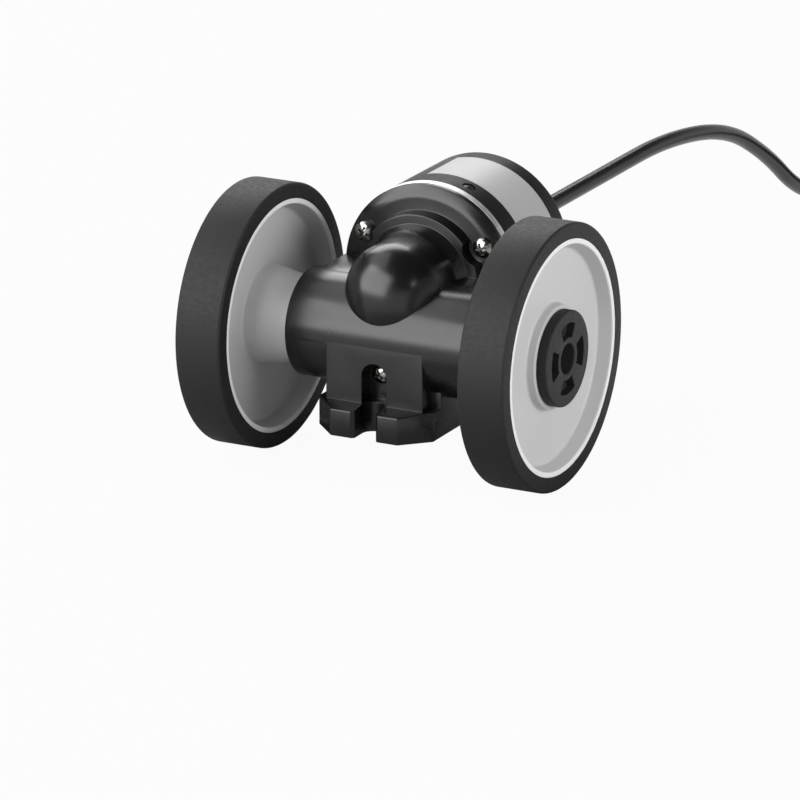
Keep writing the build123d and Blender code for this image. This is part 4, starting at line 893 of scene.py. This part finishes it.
class ENCODER_OT_cover(bpy.types.Operator):
    """Builds the encoder's flange, cover, label and small screws."""

    bl_idname = "encoder.cover"
    bl_label = "Encoder cover"
    bl_options = {"REGISTER", "UNDO"}

    def execute(self, context):
        """Spins the bright flange and the black cover, and lays the label in its recess."""
        e = context.scene.encoder_sizes
        colours = context.scene.encoder_colours
        flange = self.flange(e, context.scene.casting_sizes.flange_back)
        deliver(flange, "housing", ["encoder_flange"], turned_metal(colours))
        low, spigot, inside = e.cover - e.label_depth, e.cover - e.cover_wall, e.cover_back - BACK_WALL
        cup = rounded(
            [
                (e.ring_back, spigot), (inside, spigot), (inside, GLAND_HOLE), (e.cover_back, GLAND_HOLE),
                (e.cover_back, e.cover, e.cover_edge), (e.ring_back, e.cover, 0.3 * MM),
            ]
        )
        cover = settle(spun("black_cover", cup, "Y"), TO_SHAFT)
        combine(cover, self.band(e, low, e.cover + CUT, "recess"), "DIFFERENCE")
        self.small_screws(e, cover)
        smoothed(cover)
        deliver(cover, "housing", ["encoder_cover"], cover_paint(colours))
        label = smoothed(self.band(e, low, e.cover, "label"))
        deliver(label, "housing", ["label_band"], label_foil(colours))
        return {"FINISHED"}

    def flange(self, e, front):
        """The bright ring with a fine groove, and behind it the spigot and the seat of the rear bush."""
        spigot = e.cover - e.cover_wall
        middle, groove = (front + e.ring_back) / 2, 0.13 * MM
        shaft_hole, boss, spigot_bore = 3.9 * MM, 7.5 * MM, spigot - 2.4 * MM
        bush_front, web_back, boss_end, spigot_end = (y * MM for y in (19.9, 24.0, 25.5, 29.5))
        ring_edge = 0.2 * MM
        outline = rounded(
            [
                (front - PILOT_DEPTH, shaft_hole), (bush_front, shaft_hole), (bush_front, BUSH_SEAT),
                (boss_end, BUSH_SEAT), (boss_end, boss), (web_back, boss), (web_back, spigot_bore),
                (spigot_end, spigot_bore), (spigot_end, spigot), (e.ring_back, spigot),
                (e.ring_back, e.ring, ring_edge), (middle + groove, e.ring),
                (middle, e.ring - 2 * groove), (middle - groove, e.ring), (front, e.ring, ring_edge),
                (front, PILOT), (front - PILOT_DEPTH, PILOT),
            ],
            4,
        )
        return smoothed(settle(spun("bright_flange", outline, "Y"), TO_SHAFT))

    def small_screws(self, e, cover):
        """Sinks the three small screws into the cover."""
        shank, head, height, length, recess = (size * MM for size in (1.0, 2.0, 0.9, 3.6, 1.9))
        screw = cross_screw("cover_screw", shank, head, height, length, recess)
        black = plain_finish("black_oxide", "1a1a1b", 0.4, 0.4)
        sink, seat_radius, seat_depth = 1.0 * MM, 2.1 * MM, 4 * MM
        lift = Matrix.Translation((0, 26.8 * MM, e.cover - sink))
        for number, angle in enumerate((70, 190, 310), 1):
            place = TO_SHAFT @ Matrix.Rotation(math.radians(90 - angle), 4, "Y") @ lift
            clear_selection()
            bpy.ops.mesh.primitive_cylinder_add(
                vertices=48, radius=seat_radius, depth=seat_depth, location=(0, 0, seat_depth / 2)
            )
            combine(cover, settle(named("seat"), place), "DIFFERENCE")
            twin = smoothed(copied(screw, "cover_screw_%d" % number, place), 35)
            deliver(twin, "housing", ["cover_screws"], black)
        bpy.data.objects.remove(screw)

    def band(self, e, low, high, name):
        """The curved band of the label, or of its recess, from past the top round +X to the underside."""
        span, past_top = 200, 14
        section = oblong((e.label_front, low), (e.label_back, high))
        strip = spun(name, section, "Y", 124, angle=math.radians(span))
        return settle(strip, TO_SHAFT @ Matrix.Rotation(math.radians(span - past_top), 4, "Y"))


# The cable's route up to its coil, in millimetres, and the coil's middle and number of turns.
CABLE_ROUTE = (
    (0.0, 66.0, 39.82),
    (0.0, 141.0, 39.82),
    (0.0, 186.0, 39.82),
    (0.9, 230.0, 32.6),
    (1.4, 262.0, 16.0),
    (0.9, 287.0, -1.5),
    (0.0, 311.0, -9.96),
    (0.0, 335.0, -9.96),
)
COIL_CENTRE = (37.5 * MM, 354.86 * MM)
COIL_LAPS = 9.12
LEAD_COLOURS = ("7d2420", "202022", "d9d9d6", "2f4f8f", "b9b9b6")


def coil_point(cable, lap):
    """A point of the coil, a number of turns after the cable runs into it."""
    across = cable.coil_outer - cable.coil_inner
    laps_across = across / (2 * cable.radius)
    layer = lap / laps_across
    whole = int(layer)
    inward = layer - whole if whole % 2 == 0 else 1 - (layer - whole)
    radius = cable.coil_outer - across * inward
    climb, rise = 0.35, 0.0
    for edge in (1, 2):
        share = min(1.0, max(0.0, (layer - edge) * laps_across / climb + 0.5))
        rise += share * share * (3 - 2 * share)
    angle = math.pi - TAU * lap
    # The spline cuts inside its control points, so they stand a little further out.
    spread = radius / math.cos(math.pi / cable.points)
    return (
        COIL_CENTRE[0] + spread * math.cos(angle),
        COIL_CENTRE[1] + spread * math.sin(angle),
        CABLE_ROUTE[-1][2] * MM + rise * 2 * cable.radius,
    )


def spline_curve(name, points, radius):
    """A round tube along a smooth spline."""
    curve = bpy.data.curves.new(name, "CURVE")
    curve.dimensions = "3D"
    curve.bevel_depth = radius
    curve.bevel_resolution = 8
    curve.resolution_u = 10
    curve.use_fill_caps = True
    spline = curve.splines.new("NURBS")
    spline.points.add(len(points) - 1)
    for point, place in zip(spline.points, points):
        point.co = (*place, 1)
    spline.order_u = 3
    spline.use_endpoint_u = True
    piece = bpy.data.objects.new(name, curve)
    bpy.context.scene.collection.objects.link(piece)
    return piece


class ENCODER_OT_cable(bpy.types.Operator):
    """Builds the cable, its gland, tie and bare leads."""

    bl_idname = "encoder.cable"
    bl_label = "Cable"
    bl_options = {"REGISTER", "UNDO"}

    def execute(self, context):
        """Runs one spline along the route and round the coil."""
        scene = context.scene
        cable = scene.cable_sizes
        route = [tuple(value * MM for value in point) for point in CABLE_ROUTE]
        count = round(COIL_LAPS * cable.points)
        coil = [coil_point(cable, index / cable.points) for index in range(count + 1)]
        flex = spline_curve("cable", route + coil, cable.radius)
        leads = self.leads(cable, coil)
        self.gland(scene.encoder_sizes, cable.radius)
        tie = self.tie(cable)
        sheath = cable_sheath(scene.encoder_colours)
        deliver(flex, "housing", ["cable_tube", "cable_coil"], sheath)
        return {"FINISHED"}

    def gland(self, e, bore):
        """The ribbed strain relief in the cover's back."""
        back, inside = e.cover_back, e.cover_back - BACK_WALL
        foot, tip, washer, washer_front = 5.6 * MM, 3.5 * MM, 6.5 * MM, back - 4.2 * MM
        edge, rib_edge, rib_root = (size * MM for size in (0.3, 0.25, 0.2))
        outline = [(washer_front, bore), (e.gland_tip, bore), (e.gland_tip, tip, edge)]
        pitch, first_back, first, taper = (size * MM for size in (2.2, 0.4, 4.2, 0.5))
        for index in range(3):
            far, radius = back + first_back + (3 - index) * pitch, first + index * taper
            outline += [
                (far, radius, rib_edge), (far - 0.3 * MM, radius - 0.7 * MM, rib_root),
                (far - 1.0 * MM, radius - 0.6 * MM, rib_root),
            ]
        outline += [
            (back + 0.6 * MM, foot, edge), (back, foot), (back, GLAND_HOLE), (inside, GLAND_HOLE),
            (inside, washer), (washer_front, washer),
        ]
        gland = smoothed(settle(spun("ribbed_gland", rounded(outline, 3), "Y", 64), TO_SHAFT))
        rubber = plain_finish("gland_rubber", "1f1f20", 0.5)
        deliver(gland, "housing", ["cable_gland"], rubber)

    def tie(self, cable):
        """The flat band round the coil's turns, with its lock."""
        edge, thick, half, over = 2.4 * MM, 0.9 * MM, 2.5 * MM, 1.0 * MM
        low = Vector((cable.coil_inner - cable.radius, 0.0))
        high = Vector((cable.coil_outer + cable.radius, 6 * cable.radius))
        grow = Vector((thick, thick))
        band = plate("band", oblong(low - grow, high + grow, edge + thick), -half, half, "Y")
        hole = plate("hole", oblong(low, high, edge), -half - over, half + over, "Y")
        bevelled(combine(band, hole, "DIFFERENCE"), 0.15 * MM, 2)
        near, far, side, bottom, top = (size * MM for size in (0.6, 3.6, 3.2, 4.5, 9.5))
        lock = block("lock", (high.x + near, -side, bottom), (high.x + far, side, top))
        combine(band, bevelled(lock, 0.5 * MM), "UNION")
        floor = CABLE_ROUTE[-1][2] * MM - cable.radius
        place = Matrix.Translation((*COIL_CENTRE, floor))
        settle(band, place @ Matrix.Rotation(math.radians(255), 4, "Z"))
        band.name = "coil_tie"
        nylon = plain_finish("tie_nylon", "1c1c1d", 0.45)
        return deliver(smoothed(band, 35), "housing", ["cable_tie"], nylon)

    def leads(self, cable, coil):
        """The five bare leads that come out of the cable's end and lie on the coil."""
        end = Vector(coil[-1])
        along = (end - Vector(coil[-2])).normalized()
        inward = Vector((*COIL_CENTRE, end.z)) - end
        inward = (inward - along * inward.dot(along)).normalized()
        up = Vector((0, 0, 1))
        rest = end.z - cable.radius + cable.lead
        first_turn, lay_circle = 0.3, 1.4 * MM
        first_fan, fan_step = 3.0 * MM, 1.2 * MM
        made = []
        for index, colour in enumerate(LEAD_COLOURS):
            angle = TAU * index / len(LEAD_COLOURS) + first_turn
            off = (inward * math.cos(angle) + up * math.sin(angle)) * lay_circle
            fan = inward * (first_fan + fan_step * index)
            points = [end - along * 3 * MM + off, end + along * 2 * MM + off]
            # From the cable's end each lead goes from its place in the lay to its place on the coil.
            for share, distance in ((0.35, 9), (0.7, 17), (1.0, 25)):
                place = end + along * distance * MM + off * (1 - share) + fan * share
                place.z += (rest - place.z) * min(1.0, share * 1.5)
                points.append(place)
            lead = spline_curve("lead_%d" % (index + 1), points, cable.lead)
            finish = plain_finish("lead_insulation_%d" % (index + 1), colour, 0.45)
            made.append(deliver(lead, "housing", ["cable_leads"], finish))
        return made


class ENCODER_OT_inside(bpy.types.Operator):
    """Gives the CAD pieces that stay their finishes."""

    bl_idname = "encoder.inside"
    bl_label = "Inner pieces"
    bl_options = {"REGISTER", "UNDO"}

    def execute(self, context):
        """Puts a procedural finish in the slots of each node."""
        for name, (colour, roughness, metallic, nodes) in INNER_FINISHES.items():
            finish = plain_finish(name, colour, roughness, metallic)
            for node in nodes:
                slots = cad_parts[node].data.materials
                for index in range(len(slots)):
                    slots[index] = finish
        return {"FINISHED"}


# The backdrop's grey by the height of the direction: what it gives as light, and what is seen of it.
BACKDROP_LIGHT = ((-1.0, 0.05), (-0.1, 0.1), (0.1, 0.28), (0.5, 0.25), (1.0, 0.2))
BACKDROP_LOOK = ((-1.0, 1.0), (0.12, 1.0), (0.38, 0.06), (1.0, 0.06))

# The lamps: azimuth from the front and elevation, width and height as angles in degrees, and radiance.
LAMP_DISTANCE = 2.4
LAMP_AIM = Vector((0, 0, 0.03))
LAMPS = (
    ("front_left", -34, 27, 68, 50, 4.0),
    ("left_high", -80, 58, 44, 34, 1.4),
    ("right", 84, 14, 36, 34, 4.8),
    ("back", 214, 37, 40, 28, 3.9),
)


def direction(azimuth, elevation):
    """The way out to an azimuth from the front and an elevation, as a unit vector."""
    flat = math.cos(elevation)
    return Vector((math.sin(azimuth) * flat, -math.cos(azimuth) * flat, math.sin(elevation)))


def aimed(data, place, target):
    """The object of a lamp or a camera, placed and turned to look at a point."""
    holder = bpy.data.objects.new(data.name, data)
    holder.location = place
    holder.rotation_euler = (target - place).to_track_quat("-Z", "Y").to_euler()
    bpy.context.scene.collection.objects.link(holder)
    return holder


class ENCODER_OT_stage(bpy.types.Operator):
    """Builds the floor, the lamps and the camera."""

    bl_idname = "encoder.stage"
    bl_label = "Stage"
    bl_options = {"REGISTER", "UNDO"}

    def execute(self, context):
        """Sets up a plain white studio at the photograph's angle."""
        scene = context.scene
        self.floor(scene.wheel_sizes.radius)
        self.world(scene)
        self.lamps()
        self.camera(scene)
        scene.view_settings.view_transform = "Standard"
        return {"FINISHED"}

    def floor(self, wheel_radius):
        """A pale floor just under the wheels."""
        gap, grey, whiteness = 0.2 * MM, 0.3, 0.95
        clear_selection()
        bpy.ops.mesh.primitive_plane_add(size=6, location=(0, 0, AXLE_HEIGHT - wheel_radius - gap))
        floor = named("studio_floor")
        edit(floor)
        bpy.ops.mesh.subdivide(number_cuts=4)
        close_edit()
        settle(floor)
        finish = Finish("studio_floor", (grey, grey, grey), 0.9, specular=0.1)
        tree = finish.tree
        seen = self.seen(tree, self.clear_floor(finish))
        share = add_node(tree, "Math", {0: seen, 1: whiteness}, operation="MULTIPLY")
        glow = add_node(tree, "Emission", {})
        ends = {0: share.outputs[0], 1: finish.shader.outputs[0], 2: glow.outputs[0]}
        mix = add_node(tree, "MixShader", ends)
        tree.links.new(mix.outputs[0], tree.nodes["Material Output"].inputs["Surface"])
        floor.data.materials.append(finish.material)

    def clear_floor(self, finish):
        """Rises from zero in the shade round the object to one on the open floor."""
        length = add_node(finish.tree, "VectorMath", {0: finish.place}, operation="LENGTH")
        inputs = {"Value": length.outputs["Value"], "From Min": 70 * MM, "From Max": 130 * MM}
        return add_node(finish.tree, "MapRange", inputs, interpolation_type="SMOOTHSTEP").outputs["Result"]

    def seen(self, tree, mirrored=None):
        """One for the rays that look at the background and zero for light.

        Those rays come straight from the camera, or by way of a gloss or a glass. The share of the
        glossy ones may be given.
        """
        rays = add_node(tree, "LightPath", {}).outputs
        glossy = rays["Is Glossy Ray"]
        if mirrored is not None:
            glossy = add_node(tree, "Math", {0: glossy, 1: mirrored}, operation="MULTIPLY").outputs[0]
        seen = rays["Is Camera Ray"]
        for ray in (glossy, rays["Is Transmission Ray"]):
            seen = add_node(tree, "Math", {0: seen, 1: ray}, operation="MAXIMUM").outputs[0]
        return seen

    def levels(self, tree, height, stops):
        """A grey that changes with the height of the direction, from -1 straight down to 1 straight up."""
        ramp = add_node(tree, "ValToRGB", {0: height})
        elements = ramp.color_ramp.elements
        for position, _ in stops[1:-1]:
            elements.new((position + 1) / 2)
        for element, (_, level) in zip(elements, stops):
            element.color = (level, level, level, 1)
        return ramp.outputs["Color"]

    def world(self, scene):
        """A white backdrop under a dark ceiling where it is looked at, and a soft even light."""
        scene.world = bpy.data.worlds.new("studio")
        scene.world.use_nodes = True
        tree = scene.world.node_tree
        place = add_node(tree, "TexCoord", {})
        split = add_node(tree, "SeparateXYZ", {0: place.outputs["Generated"]})
        lift = add_node(tree, "MapRange", {"Value": split.outputs["Z"], "From Min": -1})
        light, look = (
            self.levels(tree, lift.outputs["Result"], stops) for stops in (BACKDROP_LIGHT, BACKDROP_LOOK)
        )
        mix = add_node(tree, "Mix", {"Factor": self.seen(tree), "A": light, "B": look}, data_type="RGBA")
        sky = tree.nodes["Background"]
        tree.links.new(mix.outputs["Result"], sky.inputs["Color"])
        sky.inputs["Strength"].default_value = 1.0

    def lamps(self):
        """Large soft lamps, each given by its direction and by the angles that it spans."""
        for name, azimuth, elevation, width, height, radiance in LAMPS:
            away = direction(math.radians(azimuth), math.radians(elevation))
            lamp = bpy.data.lights.new(name, "AREA")
            lamp.shape = "RECTANGLE"
            lamp.size = 2 * LAMP_DISTANCE * math.tan(math.radians(width / 2))
            lamp.size_y = 2 * LAMP_DISTANCE * math.tan(math.radians(height / 2))
            lamp.energy = 4 * lamp.size * lamp.size_y * radiance
            aimed(lamp, LAMP_AIM + away * LAMP_DISTANCE, LAMP_AIM).visible_camera = False

    def camera(self, scene):
        """The camera at the photograph's angle."""
        s = scene.stage_sizes
        away = direction(s.azimuth, s.elevation)
        right = Vector((math.cos(s.azimuth), math.sin(s.azimuth), 0))
        up = away.cross(right)
        centre = Vector((0, 0, AXLE_HEIGHT))
        lens = bpy.data.cameras.new("camera")
        lens.lens = s.lens
        lens.sensor_width = 36
        lens.clip_end = 20
        scene.camera = aimed(lens, centre + away * s.distance, centre + right * s.aside - up * s.drop)


OPERATORS = (
    ENCODER_OT_tyres,
    ENCODER_OT_hubs,
    ENCODER_OT_caps,
    ENCODER_OT_casting,
    ENCODER_OT_screws,
    ENCODER_OT_cover,
    ENCODER_OT_cable,
    ENCODER_OT_inside,
    ENCODER_OT_stage,
)


class ENCODER_PT_panel(bpy.types.Panel):
    """Lists the operators in the sidebar."""

    bl_idname = "ENCODER_PT_panel"
    bl_label = "Measuring wheel encoder"
    bl_space_type = "VIEW_3D"
    bl_region_type = "UI"
    bl_category = "Encoder"

    def draw(self, context):
        """Draws one button for each operator."""
        for operator in OPERATORS:
            self.layout.operator(operator.bl_idname)


GROUPS = {
    "wheel_sizes": WheelSizes,
    "cap_sizes": CapSizes,
    "casting_sizes": CastingSizes,
    "screw_sizes": ScrewSizes,
    "encoder_sizes": EncoderSizes,
    "cable_sizes": CableSizes,
    "encoder_colours": Colours,
    "stage_sizes": StageSizes,
}


def register():
    """Registers the classes and hangs the settings on the scene."""
    for name, group in GROUPS.items():
        bpy.utils.register_class(group)
        setattr(bpy.types.Scene, name, PointerProperty(type=group))
    for operator in OPERATORS:
        bpy.utils.register_class(operator)
    bpy.utils.register_class(ENCODER_PT_panel)


def unregister():
    """Takes the classes and the settings away again."""
    bpy.utils.unregister_class(ENCODER_PT_panel)
    for operator in reversed(OPERATORS):
        bpy.utils.unregister_class(operator)
    for name, group in GROUPS.items():
        delattr(bpy.types.Scene, name)
        bpy.utils.unregister_class(group)


def main():
    """Builds the whole look."""
    register()
    bpy.ops.encoder.tyres()
    bpy.ops.encoder.hubs()
    bpy.ops.encoder.caps()
    bpy.ops.encoder.casting()
    bpy.ops.encoder.screws()
    bpy.ops.encoder.cover()
    bpy.ops.encoder.cable()
    bpy.ops.encoder.inside()
    bpy.ops.encoder.stage()


if __name__ == "__main__":
    main()
